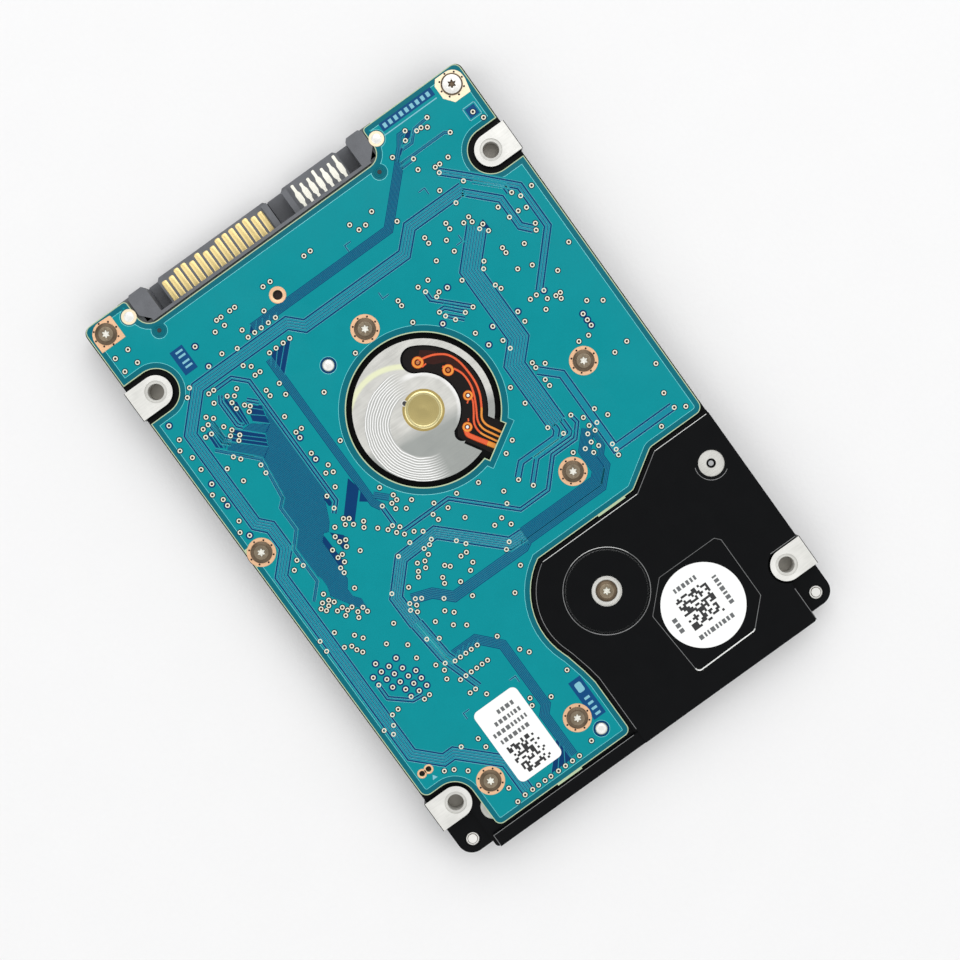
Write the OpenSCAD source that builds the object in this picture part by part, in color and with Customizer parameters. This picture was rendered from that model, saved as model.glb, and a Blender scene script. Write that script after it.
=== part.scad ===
// Hard disk drive of the 2.5-inch size, 7 mm high, lying on its cover with its circuit board up.
// +Z points out of the circuit board, +Y towards the serial connector, +X to the right.
// The origin is the middle of the cover's outer face. All sizes are millimetres.

/* [Case] */
// Width over the side mounting pads
case_w = 69.85; // [69.6:0.05:70.1]
// Length from the rear edge to the front of the connector
case_l = 100.2; // [100.0:0.05:100.4]
// Height from the cover's outer face to the mounting pads
case_h = 7.0; // [7.0:0.05:7.2]
// Thickness of the stamped cover
cover_t = 0.5; // [0.45:0.01:0.55]
// How far the side pads stand out from the side walls
pad_proud = 0.325; // [0.2:0.025:0.4]

/* [Mounting holes] */
// Spacing of the bottom holes across the drive
mount_dx = 61.72; // [61.6:0.02:61.8]
// Spacing of the holes along the drive
mount_dy = 76.6; // [76.4:0.05:76.8]
// Distance of the front holes from the connector end
mount_front = 14.0; // [13.9:0.05:14.1]
// Drilled diameter of a mounting hole
mount_d = 2.5; // [2.4:0.05:2.6]
// Depth of a bottom mounting hole
mount_depth = 3.0; // [2.5:0.1:3.0]
// Height of a side hole below the pad plane
side_hole_down = 3.0; // [2.9:0.05:3.1]

/* [Circuit board] */
// Thickness of the circuit board
board_t = 0.8; // [0.7:0.05:0.8]
// Radius of the round opening for the spindle motor
board_motor_r = 11.65; // [11.5:0.05:11.8]
// Diameter of the heads of the board screws
board_screw_head_d = 3.3; // [3.0:0.1:3.4]

/* [Disk and spindle] */
// Diameter of the platter
disk_d = 65; // [64:0.5:65]
// Diameter of the platter's central hole
disk_bore_d = 20; // [20:0.05:20.1]
// Thickness of the platter
disk_t = 0.8; // [0.6:0.05:0.8]
// Distance of the spindle axis from the middle of the drive, towards the connector
spindle_y = 10.55; // [10.5:0.01:10.6]
// Diameter of the spindle shaft
shaft_d = 3.0; // [2.9:0.05:3.0]
// Radial clearance of the shaft in its sleeve
shaft_fit = 0.03; // [0.02:0.01:0.05]
// Number of stator teeth
teeth = 9; // [6:3:12]

/* [Actuator] */
// Pivot position across the drive
pivot_x = 6.45; // [6.4:0.01:6.5]
// Pivot position along the drive
pivot_y = -27.8; // [-27.85:0.01:-27.75]
// Distance from the pivot to the heads
head_reach = 34.0; // [33.9:0.05:34.1]
// Direction of the arm when the heads are parked on the ramp, in degrees
park_angle = 155.5; // [155.3:0.1:155.7]
// Angle from parked to the innermost track, in degrees
swing = 33.5; // [32:0.1:33.5]
// Angle through which the shock latch closes, in degrees
latch_swing = 12; // [10:0.5:12]

/* [Serial connector] */
// Spacing of the contacts
contact_pitch = 1.27; // [1.26:0.01:1.28]
// Number of contacts on the power tongue
power_contacts = 15; // [15:1:15]
// Number of contacts on the signal tongue
signal_contacts = 7; // [7:1:7]
// Thickness of the tongues
tongue_t = 1.2; // [1.1:0.05:1.2]

/* [Hidden] */
$fn = 72;

e = 0.5;                                  // overrun of a cut past the face that it opens
front_y = case_l / 2;
rear_y = -case_l / 2;
pad_x = case_w / 2;
side_x = pad_x - pad_proud;
frame_front_y = front_y - 0.25;
tab_y = rear_y + 1.1;                     // rear edge of the two low corner tabs
tab_x = 29.85;                            // inner edge of the corner tabs

// Heights
rim_z = cover_t;
gasket_z = rim_z + 0.4;
ceiling_z = 4.1;                          // roof of the disk chamber
deck_z = 4.7;                             // floor of the board's pocket
tab_z = 5.2;                              // top of the rear corner tabs
vcm_z = 5.8;                              // roof of the magnet chamber
ledge_z = 5.8;                            // ledges and bosses that the board rests on
board_z = ledge_z + board_t;
field_z = 6.85;                           // top of the raised area beside the board
step_z = 6.3;                             // narrow step around the raised area
lip_z = 6.6;                              // lip along the rear edge
pad_z = case_h;
motor_z = 6.2;                            // machined face of the motor boss
flex_z = 5.5;                             // floor of the slot for the motor's flex circuit
motor_roof_z = 4.9;                       // roof over the stator

// Places
S = [0, spindle_y];
P = [pivot_x, pivot_y];
L = [30.5, -21.3];                        // latch pin
mount_y = [front_y - mount_front, front_y - mount_front - mount_dy];
mount_points = [for (x = [-mount_dx / 2, mount_dx / 2], y = mount_y) [x, y]];
board_screw_points = [[-31.8, 47.4], [31.8, 47.4], [0, 25.5], [-32.3, 7.45], [23.85, 2.5], [12.85, -10.1],
    [-24.65, -40.95], [-8.4, -40.9]];
cover_screw_points = [[-32.25, -46.9], [32.25, -46.9], [-31.6, 43.4], [31.6, 43.4], [-32.2, -35.3],
    [32.2, -35.3]];
pin_points = [[-7.65, 24.3], [-6.4, -44.4]];
post_points = [[-27.55, 47.5], [17.95, 47.4]];
peg_points = [[-25.05, 43.25], [15.45, 43.15]];
small_screw_points = [[-21.3, -42.6], [-11.7, -42.6], [-26.93, -16.95]];
label_c = [17.1, -38.15];
header_c = [-16.5, -45.7];

// Disk stack heights, from the cover side up
disk_z = 1.9;
clamp_z = 0.95;
hub_z = 1.25;
mid_z = disk_z + disk_t / 2;

// Actuator heights
arm_z = 0.95;
arm_t = 0.47;
coil_z = [2.45, 3.75];
lower_yoke_z = [0.75, 1.75];
lower_magnet_z = [1.75, 2.25];
upper_magnet_z = [4.0, 4.5];
upper_yoke_z = [4.5, vcm_z];
yoke_post_polar = [[13.5, 5], [20.6, 295], [20.6, 317.5]];
stop_polar = [[17.5, 10.5], [17.5, 279.2]];
magnet_a = [park_angle + 164 - swing, park_angle + 197.5];
bearing_z = [1.5, 3.7];
ball_r = 0.38;

// Connector
tongue_z = 2.6;
contact_z = tongue_z + tongue_t;
wall_y = [44.95, 45.45];
power_x0 = -20.46;
signal_x0 = 3.61;
short_power = [0, 1, 4, 6, 7, 13, 14];
long_signal = [0, 3, 6];

// ---- shared shapes ----

function polar(c, r, a) = c + r * [cos(a), sin(a)];

module slab(z0, z1) translate([0, 0, z0]) linear_extrude(z1 - z0) children();

module rod(r, z0, z1) translate([0, 0, z0]) cylinder(r = r, h = z1 - z0);

module tube(r0, r1, z0, z1) difference() {
    rod(r1, z0, z1);
    rod(r0, z0 - e, z1 + e);
}

// Rectangle between two corners with rounded corners
module rrect(x0, y0, x1, y1, r) {
    translate([x0 + r, y0]) square([x1 - x0 - 2 * r, y1 - y0]);
    translate([x0, y0 + r]) square([x1 - x0, y1 - y0 - 2 * r]);
    for (x = [x0 + r, x1 - r], y = [y0 + r, y1 - r]) translate([x, y]) circle(r);
}

module box(x0, y0, x1, y1) translate([x0, y0]) square([x1 - x0, y1 - y0]);

// Part of a ring between two directions less than 150 degrees apart
module sector(r0, r1, a0, a1) intersection() {
    difference() {
        circle(r1);
        if (r0 > 0) circle(r0);
    }
    polygon([[0, 0], for (i = [0:2]) 2 * r1 * [cos(a0 + (a1 - a0) * i / 2), sin(a0 + (a1 - a0) * i / 2)]]);
}

// ---- outlines that several pieces follow ----

// Plan of the casting, g inside its edge
module frame_2d(g = 0) {
    rrect(-side_x + g, 0, side_x - g, frame_front_y - g, 1.2);
    rrect(-side_x + g, tab_y + g, side_x - g, 10, 2.4);
    rrect(-tab_x + g, rear_y + g, tab_x - g, 0, 0.6);
}

// Low corner tabs that carry the rear cover screws
module tabs_2d() {
    box(-pad_x - 1, rear_y - 1, -tab_x, -43.3);
    box(tab_x, rear_y - 1, pad_x + 1, -43.3);
}

// Raised area over the pivot and the magnets, g inside the edge of the board
module field_2d(g) {
    intersection() {
        translate(P) circle(11.5 - g);
        box(-10, -60, 20, -17.73 - g);
    }
    polygon([[1, -17.73 - g], [18.6 + 0.3 * g, -17.73 - g], [24.4 + 0.3 * g, -14 - g], [36, -14 - g],
        [36, -52], [-2.95 + g, -52], [-2.95 + g, -38], [-3.3 + g, -35.8], [-4.05 + g, -32.6], [0, -28]]);
}

// Disk chamber and actuator bay, grown outwards by g
module chamber_2d(g) difference() {
    union() {
        translate(S) circle(33.2 + g);
        rrect(-28.6 - g, -48.3 - g, 28.2 + g, 0, 3);
        rrect(20, -30.8 - g, 30 + g, -6, 2);
        rrect(20, -27.6 - g, 33 + g, -6, 2.5);
    }
    for (x = [-1, 1]) translate([x * mount_dx / 2, mount_y[1]]) circle(3.3 - g);
}

// Mounting pad, open to the side of the drive
module pad_2d(g = 0) {
    translate([mount_dx / 2, 0]) circle(2.5 + g);
    box(mount_dx / 2, -2.5 - g, pad_x, 2.5 + g);
}

// What is cut away to round an outer corner at the lower right of an outline
module corner_2d(x, y, r) difference() {
    box(x - r, y - 1, x + 1, y + r);
    translate([x - r, y + r]) circle(r);
}

// Outline of the circuit board, with its openings but without its small holes
module board_2d() difference() {
    union() {
        rrect(-34.35, -37.2, 3, 49.8, 1.2);
        rrect(-8, -25, 34.35, 49.8, 1.2);
        rrect(-27.75, -47.4, 0, -20, 1.1);
    }
    field_2d(0);
    corner_2d(34.35, -14, 1.3);
    corner_2d(-2.95, -47.4, 1.1);
    rrect(-26.6, 44.63, 17.0, 60, 2.2);
    for (s = [-1, 1]) {
        translate([s * mount_dx / 2, mount_y[0]]) circle(3.45);
        translate([s * 34, mount_y[0]]) square([2 * 34 - mount_dx, 6.9], center = true);
    }
    translate([-31.2, -40.9]) circle(3.6);
    translate(S) circle(board_motor_r);
    translate(S) rotate(-59) box(0, -3, 12.1, 3);
}

// Pocket in the casting under the circuit board
module pocket_2d() difference() {
    union() {
        rrect(-33.3, -36, 0, 48.6, 1);
        rrect(-10, -12.9, 33.3, 48.6, 1);
        rrect(-26.6, -46.3, -4.1, -20, 1);
        box(-6, -16.6, 18, 0);
    }
    field_2d(-1.1);
    for (s = [-1, 1]) {
        translate([s * mount_dx / 2, mount_y[0]]) circle(4.5);
        translate([s * 34, mount_y[0]]) square([2 * 34 - mount_dx, 9], center = true);
    }
    translate([-31.2, -40.9]) circle(4.7);
}

// Slot in the motor boss for the motor's flex circuit, g inside its edge, drawn around the spindle
module motor_slot_2d(g) {
    sector(5.6 + g, 9.75 - g, -71, 65);
    translate(polar([0, 0], 7.675, 65)) circle(2.075 - g);
    translate([2.7, -6.25]) circle(1.2 - g);
    rotate(-59) box(7.6, -2.2 + g, 12, 3 - g);
}

// ---- chassis ----

module base_solids() {
    difference() {
        slab(rim_z, ledge_z) frame_2d();
        slab(deck_z, ledge_z + e) pocket_2d();
        slab(tab_z, ledge_z + e) tabs_2d();
    }
    for (level = [[0.3, step_z], [0.75, field_z]]) slab(deck_z, level[1]) difference() {
        intersection() {
            frame_2d();
            field_2d(level[0]);
        }
        tabs_2d();
        translate([0, mount_y[1]]) pad_2d(0.35);
    }
    slab(deck_z, lip_z) box(-tab_x + 0.6, rear_y, 0, -48.05);
    slab(0.15, 1) rrect(-side_x, 46.7, side_x, frame_front_y, 1.2);
    for (s = [0, 1], y = mount_y) mirror([s, 0, 0]) translate([0, y, 0]) slab(rim_z, pad_z) pad_2d();
    for (p = board_screw_points) translate(p) rod(2.4, ceiling_z, ledge_z);
    for (p = pin_points) translate(p) rod(1.8, ceiling_z, ledge_z);
    for (p = small_screw_points) translate(p) rod(1.7, ceiling_z, 5.4);
    translate(S) rod(10.75, deck_z - 0.1, motor_z);
    translate(S) rotate(-59) slab(ceiling_z, flex_z) box(8, -3.3, 17, 3.3);
}

module base_chambers() {
    slab(0, ceiling_z) chamber_2d(0);
    slab(0, gasket_z) chamber_2d(0.7);
    translate(S) rod(10.2, ceiling_z - e, motor_roof_z);
    difference() {
        slab(ceiling_z - e, vcm_z) intersection() {
            field_2d(2.2);
            difference() {
                rrect(-28.6, -48.3, 28.2, 0, 3);
                translate([mount_dx / 2, mount_y[1]]) circle(3.3);
            }
        }
        translate(P) rod(4.6, tab_z, vcm_z + e);
    }
    slab(1, pad_z + e) box(-28.4, 44.6, 19, front_y + 1);
    slab(ceiling_z - e, ledge_z + e) translate(header_c) square([11.2, 2.8], center = true);
}

module base_holes() {
    for (p = mount_points) translate(p) {
        rod(mount_d / 2, pad_z - mount_depth, pad_z + e);
        rod(1.7, pad_z - 0.2, pad_z + e);
    }
    for (s = [0, 1], y = mount_y) mirror([s, 0, 0]) translate([pad_x - 2.5, y, case_h - side_hole_down])
        rotate([0, 90, 0]) cylinder(d = mount_d, h = 3);
    for (p = board_screw_points) translate(p) rod(0.7, 4.4, ledge_z + e);
    for (p = cover_screw_points) translate(p) rod(1, 0, tab_z);
    for (p = pin_points) translate(p) rod(0.9, 4.5, ledge_z + e);
    for (p = small_screw_points) translate(p) rod(0.5, ceiling_z - e, 5);
    for (q = yoke_post_polar) translate(polar(P, q[0], q[1])) rod(0.5, vcm_z - e, 6.4);
    translate(P) {
        rod(2.2, step_z, field_z + e);
        rod(0.8, tab_z - e, field_z);
        tube(6.3, 6.6, field_z - 0.12, field_z + e);
    }
    translate(L) {
        rod(2, field_z - 0.12, field_z + e);
        rod(0.75, 6.3, field_z);
        rod(0.4, ceiling_z - e, 6.5);
    }
    slab(6.6, field_z + e) polygon([[14.05, -30.75], [24.3, -30.75], [25.05, -31.6], [25.05, -42],
        [21.15, -45.9], [10.5, -46.05], [9.8, -35]]);
    translate(S) slab(flex_z, motor_z + e) motor_slot_2d(0);
    translate([-26.65, -44.55]) rod(2, ledge_z - 0.1, ledge_z + e);
}

module base_casting() color("#1b1c20") difference() {
    union() {
        difference() {
            base_solids();
            base_chambers();
        }
        translate(S) rod(4.2, 3.2, motor_roof_z + 0.1);
    }
    base_holes();
    translate(S) rod(3.2, 3, motor_z + e);
}

module cover_2d(g) {
    rrect(-side_x + g, tab_y + g, side_x - g, 46.45, 2.2);
    rrect(-tab_x + g, rear_y + g, tab_x - g, 0, 0.6);
}

// Area of the cover's outer face that is sunk for the label
module label_2d(g) difference() {
    union() {
        rrect(-28 + g, -23.5 + g, 28 - g, 43.5 - g, 3);
        rrect(-22 + g, -44 + g, -4 - g, 0, 2);
    }
    translate([0, -47]) circle(9 + g);
}

module top_cover() color("#b9bcc0") difference() {
    slab(0, cover_t) cover_2d(0.25);
    slab(-e, 0.1) label_2d(0);
    for (p = cover_screw_points) translate(p) {
        rod(1.7, -e, 0.4);
        rod(1, 0, 1);
    }
    translate(P) {
        rod(1.7, -e, 0.3);
        rod(0.8, 0, 1);
    }
    translate([-13, -37]) rod(0.6, -e, 1);
    translate(S) tube(13.2, 14, 0.4, 1);
    translate([10, -47]) tube(2, 2.6, -e, 0.12);
}

module cover_gasket() color("#26262a") slab(rim_z, gasket_z) difference() {
    chamber_2d(0.7);
    chamber_2d(0);
}

// Flat-headed screw standing on its head, with a six-sided recess
module screw(head_r, head_t, shank_r, shank_l) difference() {
    union() {
        rod(head_r, 0, head_t);
        rod(shank_r, head_t, head_t + shank_l);
    }
    translate([0, 0, -e]) cylinder(r = 0.5 * head_r, h = e + 0.6 * head_t, $fn = 6);
}

module cover_screws() color("#8f9296") for (p = cover_screw_points) translate([p.x, p.y, 0.05])
    screw(1.6, 0.35, 1, tab_z - 0.45);

module pivot_screws() color("#9b9ea2") {
    translate([P.x, P.y, 0.02]) screw(1.6, 0.28, 0.8, 2.1);
    translate([P.x, P.y, field_z]) mirror([0, 0, 1]) screw(1.65, field_z - step_z, 0.8, 2.7);
}

module cover_label() color("#e9e9e6") slab(0.02, 0.1) difference() {
    label_2d(0.15);
    translate([-13, -37]) circle(1.2);
}

module breather_filter() color("#f2f2ef") translate([-13, -37]) rod(3, 0.5, 0.9);

module board_label() color("#f1f1ee") slab(board_z, board_z + 0.06) rrect(-21.15, -44.15, -13.25, -31.15, 0.9);

module seal_label() color("#f1f1ee") translate(label_c) rod(6.55, 6.6, 6.68);

module locating_pins() color("#c8cacd") for (p = pin_points) translate(p) {
    rod(0.9, 4.5, board_z + 0.1);
    rod(0.6, board_z + 0.1, board_z + 0.25);
}

// ---- circuit board ----

module circuit_board() color("#0d8f99") slab(ledge_z, board_z) difference() {
    board_2d();
    for (p = board_screw_points) translate(p) circle(0.85);
    for (p = pin_points) translate(p) circle(0.95);
    for (p = post_points) translate(p) circle(0.65);
    for (p = peg_points) translate(p) circle(0.6);
    translate([-7.63, 37.22]) circle(0.75);
    for (x = [-32.45, -31.24]) translate([x, -34]) circle(0.45);
}

module board_screws() color("#a9abae") for (p = board_screw_points) translate([p.x, p.y, board_z + 0.35])
    mirror([0, 0, 1]) screw(board_screw_head_d / 2, 0.35, 0.7, board_t + 1.3);

// A chip that hangs below the board
module chip(c, w, l, t, tint) color(tint) translate([c.x, c.y, ledge_z - t / 2]) cube([w, l, t], center = true);

module controller_chip() chip([-20.2, 17], 12, 12, 0.85, "#202124");

module memory_chip() chip([-22.5, -3], 9, 9.5, 0.85, "#232427");

module motor_driver_chip() chip([18.4, -4.9], 6.4, 6.4, 0.8, "#1d1e20");

module flash_chip() chip([-14, -30], 5.2, 6, 0.8, "#242528");

module power_inductors() for (x = [7, 12.5, 18]) chip([x, 36], 3.2, 3.2, 0.9, "#4a4a4e");

module shock_sensors() for (x = [-11, -20]) chip([x, -13], 2.2, 1.6, 0.7, "#c9b994");

module chip_capacitors() {
    for (i = [0:6]) {
        chip([-24 + 2.6 * i, 31], 1.6, 0.8, 0.6, "#b89a6a");
        chip([22.5 + 1.4 * i, 33 - 4.2 * i], 0.8, 1.6, 0.6, "#b89a6a");
    }
    for (i = [0:5]) chip([-29.8, 2 - 3.4 * i], 1.6, 0.8, 0.6, "#b89a6a");
    for (i = [0:4]) chip([-2 + 3 * i, -13.4], 1.6, 0.8, 0.6, "#b89a6a");
}

module insulator_sheet() color("#d9c57a") slab(deck_z, deck_z + 0.1) difference() {
    rrect(-29.6, -28, -13.6, 28, 1.5);
    for (p = small_screw_points) translate(p) circle(2);
    translate([-32.3, 7.45]) circle(2.8);
}

// ---- serial connector ----

module sata_housing() color("#3c3d40") {
    difference() {
        union() {
            slab(4.95, ledge_z - 0.05) box(-25.9, 42.4, 16.6, 45.2);
            slab(1.3, ledge_z - 0.05) box(-25.9, wall_y[0], 16.6, wall_y[1]);
            slab(ledge_z - 0.1, 6.5) box(-24.9, wall_y[0], 15.3, wall_y[1]);
            for (x = [[-28, -25.8], [16.5, 18.6]]) slab(4.4, ledge_z - 0.05) box(x[0], wall_y[0], x[1], 50);
            slab(1.5, 6.5) polygon([[-24.6, 45.05], [-23.07, 45.05], [-23.07, front_y - 0.5],
                [-23.5, front_y], [-25.7, front_y], [-26.2, front_y - 0.5], [-26.2, 46.8]]);
            slab(1.5, 6.5) polygon([[13.85, 45.05], [15.1, 45.05], [16.85, 46.8], [16.85, front_y - 0.5],
                [16.4, front_y], [14.3, front_y], [13.85, front_y - 0.5]]);
            slab(tongue_z, contact_z) {
                tongue_2d(-21.25, -1.03);
                tongue_2d(1.69, 11.9);
            }
            for (x = [-1.98, 1.69]) slab(tongue_z, contact_z + 0.9) box(x, wall_y[1] - 0.1, x + 0.95, 49.6);
        }
        for (p = post_points) translate(p) rod(0.55, 4, 6);
    }
    for (p = peg_points) translate(p) rod(0.55, ledge_z - 0.1, board_z - 0.1);
}

// Tongue with its two front corners cut off
module tongue_2d(x0, x1) polygon([[x0, wall_y[1] - 0.1], [x1, wall_y[1] - 0.1], [x1, 49.6], [x1 - 0.45, 50.05],
    [x0 + 0.45, 50.05], [x0, 49.6]]);

function is_in(i, list) = len([for (v = list) if (v == i) v]) > 0;

// Contact on the tongue and its solder tail under the board
module contact(x, tip_y) {
    slab(contact_z, contact_z + 0.08) box(x - 0.43, wall_y[1], x + 0.43, tip_y);
    slab(ledge_z - 0.15, ledge_z) box(x - 0.2, 41.2, x + 0.2, 42.4);
}

module sata_power_contacts() color("#e6d49a") for (i = [0:power_contacts - 1])
    contact(power_x0 + contact_pitch * i, is_in(i, short_power) ? 49.2 : 49.7);

module sata_signal_contacts() color("#e9dcae") for (i = [0:signal_contacts - 1])
    contact(signal_x0 + contact_pitch * i, is_in(i, long_signal) ? 49.6 : 49.1);

module connector_posts() color("#c9cbce") for (p = post_points) translate(p) {
    rod(0.55, 4.4, board_z);
    rod(1.1, board_z, board_z + 0.12);
}

// ---- spindle motor, fixed side ----

module motor_flex_circuit() color("#2a1c16") translate(S) slab(flex_z, flex_z + 0.15) {
    motor_slot_2d(0.2);
    rotate(-59) box(7.8, -2, 16.5, 2.6);
}

module bearing_sleeve() color("#b7a566") translate(S) difference() {
    rod(3.2, 2.55, motor_z);
    rod(shaft_d / 2 + shaft_fit, 0, 7);
    rod(2.4, 5.4, 7);
    rod(2.85, 5.9, 7);
}

module sleeve_end_cap() color("#a59a5f") translate(S) rod(2.85, 5.9, motor_z + 0.15);

module stator_core() color("#7c7f86") translate(S) slab(3.3, 4.3) difference() {
    union() {
        circle(5.3);
        for (i = [0:teeth - 1]) rotate(360 / teeth * i) {
            box(5, -0.5, 7.4, 0.5);
            sector(7.05, 7.7, -9, 9);
        }
    }
    circle(4.2);
}

module stator_coils() color("#b4622d") translate(S) for (i = [0:teeth - 1]) rotate(360 / teeth * i) difference() {
    slab(2.95, 4.65) box(5.45, -1, 6.95, 1);
    slab(3.3, 4.3) box(5, -0.5, 7.5, 0.5);
}

// ---- spindle motor, turning side ----

module spindle_shaft() color("#d4d6d9") translate(S) difference() {
    union() {
        rod(shaft_d / 2, hub_z, 5.75);
        rod(2.3, 5.45, 5.75);
    }
    rod(0.8, 0, 3.9);
}

module spindle_hub() color("#c3c6ca") translate(S) difference() {
    union() {
        rod(disk_bore_d / 2 - 0.05, hub_z, 3.3);
        rod(12, disk_z + disk_t, 3.3);
        rod(9.6, 3.3, 4.6);
    }
    rod(shaft_d / 2, 0, 5);
    rod(8.8, 2.3, 5);
}

module rotor_magnet() color("#5b5d63") translate(S) tube(8.05, 8.8, 2.8, 4.6);

module platter() color("#d9dadd") translate(S) tube(disk_bore_d / 2, disk_d / 2, disk_z, disk_z + disk_t);

module platter_clamp() color("#aeb1b6") translate(S) difference() {
    rod(11.9, clamp_z, disk_z);
    rod(10.6, hub_z, 3);
    rod(0.8, 0, 3);
    for (i = [0:5]) rotate(60 * i) translate([6.5, 0, 0]) rod(0.75, 0, 3);
}

module clamp_screw() color("#8c8f94") translate([S.x, S.y, 0.7]) screw(2, clamp_z - 0.7, 0.8, 2.8);

// ---- pivot ----

module pivot_shaft() color("#cfd1d4") translate(P) difference() {
    union() {
        rod(1.6, rim_z, tab_z);
        rod(2.4, 4.8, tab_z);
    }
    rod(0.8, 0, 2.45);
    rod(0.8, 3.4, 6);
}

module pivot_inner_rings() color("#c2c4c8") translate(P) for (z = bearing_z) tube(1.6, 2.2, z - 0.4, z + 0.4);

module pivot_balls() color("#e0e1e3") translate(P) for (z = bearing_z, i = [0:8])
    rotate(40 * i) translate([2.6, 0, z]) sphere(ball_r, $fn = 24);

module pivot_sleeve() color("#b9bbbf") translate(P) tube(3, 4, arm_z, 4.3);

// ---- actuator, drawn with its arm along +X and then turned to the parked direction ----

module on_actuator() translate(P) rotate(park_angle) children();

// The lower arm's shapes and their mirror images above the platter
module both_sides() {
    children();
    translate([0, 0, 2 * mid_z]) mirror([0, 0, 1]) children();
}

module actuator_arm() color("#a7aab0") on_actuator() difference() {
    union() {
        rod(5.4, arm_z, 2 * mid_z - arm_z);
        both_sides() slab(arm_z, arm_z + arm_t) difference() {
            polygon([[0, 5.2], [6, 4.6], [24.6, 1.9], [24.6, -1.9], [6, -4.6], [0, -5.2]]);
            polygon([[9.5, 2.3], [19, 1.1], [19, -1.1], [9.5, -2.3]]);
        }
        slab(coil_z[0], coil_z[1]) box(-7.3, -2.4, 0, 2.4);
    }
    rod(4, 0, 5);
}

module voice_coil() color("#b0632f") on_actuator() slab(coil_z[0], coil_z[1]) coil_2d();

module coil_2d() difference() {
    sector(8.6, 18.5, 163, 197);
    sector(11, 16.2, 171.5, 188.5);
}

module coil_overmold() color("#2b2a2c") on_actuator() slab(coil_z[0], coil_z[1]) {
    difference() {
        union() {
            intersection() {
                sector(0, 19.2, 161.5, 198.5);
                box(-25, -10, -7.3, 10);
            }
            sector(18, 19.2, 190, 210.5);
            sector(19, 20.4, 206.5, 210.5);
        }
        coil_2d();
    }
}

module head_suspensions() color("#d2d4d7") on_actuator() both_sides() {
    slab(arm_z + arm_t, arm_z + arm_t + 0.1) box(20.6, -1.7, 24.6, 1.7);
    slab(arm_z + arm_t + 0.1, arm_z + arm_t + 0.2) polygon([[21.4, 1.6], [25, 1.6], [32, 0.55],
        [head_reach + 0.6, 0.45], [head_reach + 0.6, 0.28], [head_reach + 2.2, 0.28],
        [head_reach + 2.2, -0.28], [head_reach + 0.6, -0.28], [head_reach + 0.6, -0.45], [32, -0.55],
        [25, -1.6], [21.4, -1.6]]);
}

module head_sliders() color("#3a3b3f") on_actuator() both_sides()
    slab(arm_z + arm_t + 0.2, disk_z - 0.05) box(head_reach - 0.4, -0.35, head_reach + 0.4, 0.35);

module preamp_chip() color("#1c1d1f") on_actuator() translate([0, 0, 1.7]) rotate(64) translate([5.4, -1.1, 0])
    cube([0.5, 2.2, 1.2]);

// Flex circuit standing on edge between the hub and its bracket
module head_flex_circuit() color("#b06a2c") slab(1.55, 3.05) {
    box(0.9, -36.95, 1.02, -27.8);
    translate([-3, -37]) intersection() {
        difference() {
            circle(4.02);
            circle(3.9);
        }
        box(0, -5, 5, 0.1);
    }
    box(-9.6, -41.02, -2.95, -40.9);
}

module flex_bracket() color("#4b4c50") difference() {
    union() {
        slab(3.5, ceiling_z) rrect(-23.2, -47.8, -9.6, -40.1, 0.8);
        slab(1.2, ceiling_z) box(-22.8, -41.55, -9.7, -41.02);
    }
    slab(0, 5) translate(header_c) square([11.2, 2.8], center = true);
    for (i = [0, 1]) translate(small_screw_points[i]) rod(0.5, 0, 5);
}

module flex_header() color("#2c2d30") difference() {
    slab(1.6, ledge_z - 0.05) translate(header_c) square([11, 2.6], center = true);
    slab(1.5, 2.2) translate(header_c) square([9.6, 1.4], center = true);
}

// Identical small screws: two hold the flex bracket and one the ramp
module small_screws() color("#8b8e93") for (i = [0:2]) {
    p = small_screw_points[i];
    head_z = i < 2 ? 3.5 : 1.68;
    translate([p.x, p.y, head_z - 0.35]) screw(1, 0.35, 0.5, i < 2 ? 1.4 : 3.2);
}

// ---- voice-coil magnets ----

module yoke_2d() {
    sector(7, 20.5, magnet_a[0] - 2, magnet_a[1] + 3);
    sector(11.7, 15.3, 345, 370);
    for (q = yoke_post_polar) translate(polar([0, 0], q[0], q[1])) circle(1.3);
}

module upper_yoke() color("#b3b5b8") translate(P) difference() {
    union() {
        slab(upper_yoke_z[0], upper_yoke_z[1]) yoke_2d();
        for (q = yoke_post_polar) translate(polar([0, 0], q[0], q[1])) rod(1, lower_yoke_z[1], upper_yoke_z[1]);
    }
    for (q = yoke_post_polar) translate(polar([0, 0], q[0], q[1])) rod(0.5, 0, 7);
}

module lower_yoke() color("#b3b5b8") translate(P) difference() {
    slab(lower_yoke_z[0], lower_yoke_z[1]) yoke_2d();
    for (q = yoke_post_polar) translate(polar([0, 0], q[0], q[1])) {
        rod(0.5, 0, 3);
        rod(0.9, 0, 1.1);
    }
}

module lower_magnet() color("#8d9096") translate(P) slab(lower_magnet_z[0], lower_magnet_z[1])
    sector(9.5, 18, magnet_a[0], magnet_a[1]);

module upper_magnet() color("#8d9096") translate(P) slab(upper_magnet_z[0], upper_magnet_z[1])
    sector(9.5, 18, magnet_a[0], magnet_a[1]);

module yoke_screws() color("#7f8287") for (q = yoke_post_polar) translate([0, 0, 0.8])
    translate(polar(P, q[0], q[1])) screw(0.9, 0.3, 0.5, 5.2);

module crash_stops() color("#2f2f31") for (q = stop_polar) translate(polar(P, q[0], q[1]))
    rod(1, 1.9, vcm_z);

// ---- ramp, latch and filters ----

module load_ramp() color("#e6e2d2") difference() {
    translate(P) {
        slab(1.68, 2 * mid_z - 1.68) sector(head_reach + 0.65, 37, 152.8, 159);
        slab(1.68, ceiling_z) sector(33.2, 36.1, 158, 165);
    }
    translate(small_screw_points[2]) rod(0.5, 0, 5);
}

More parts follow.
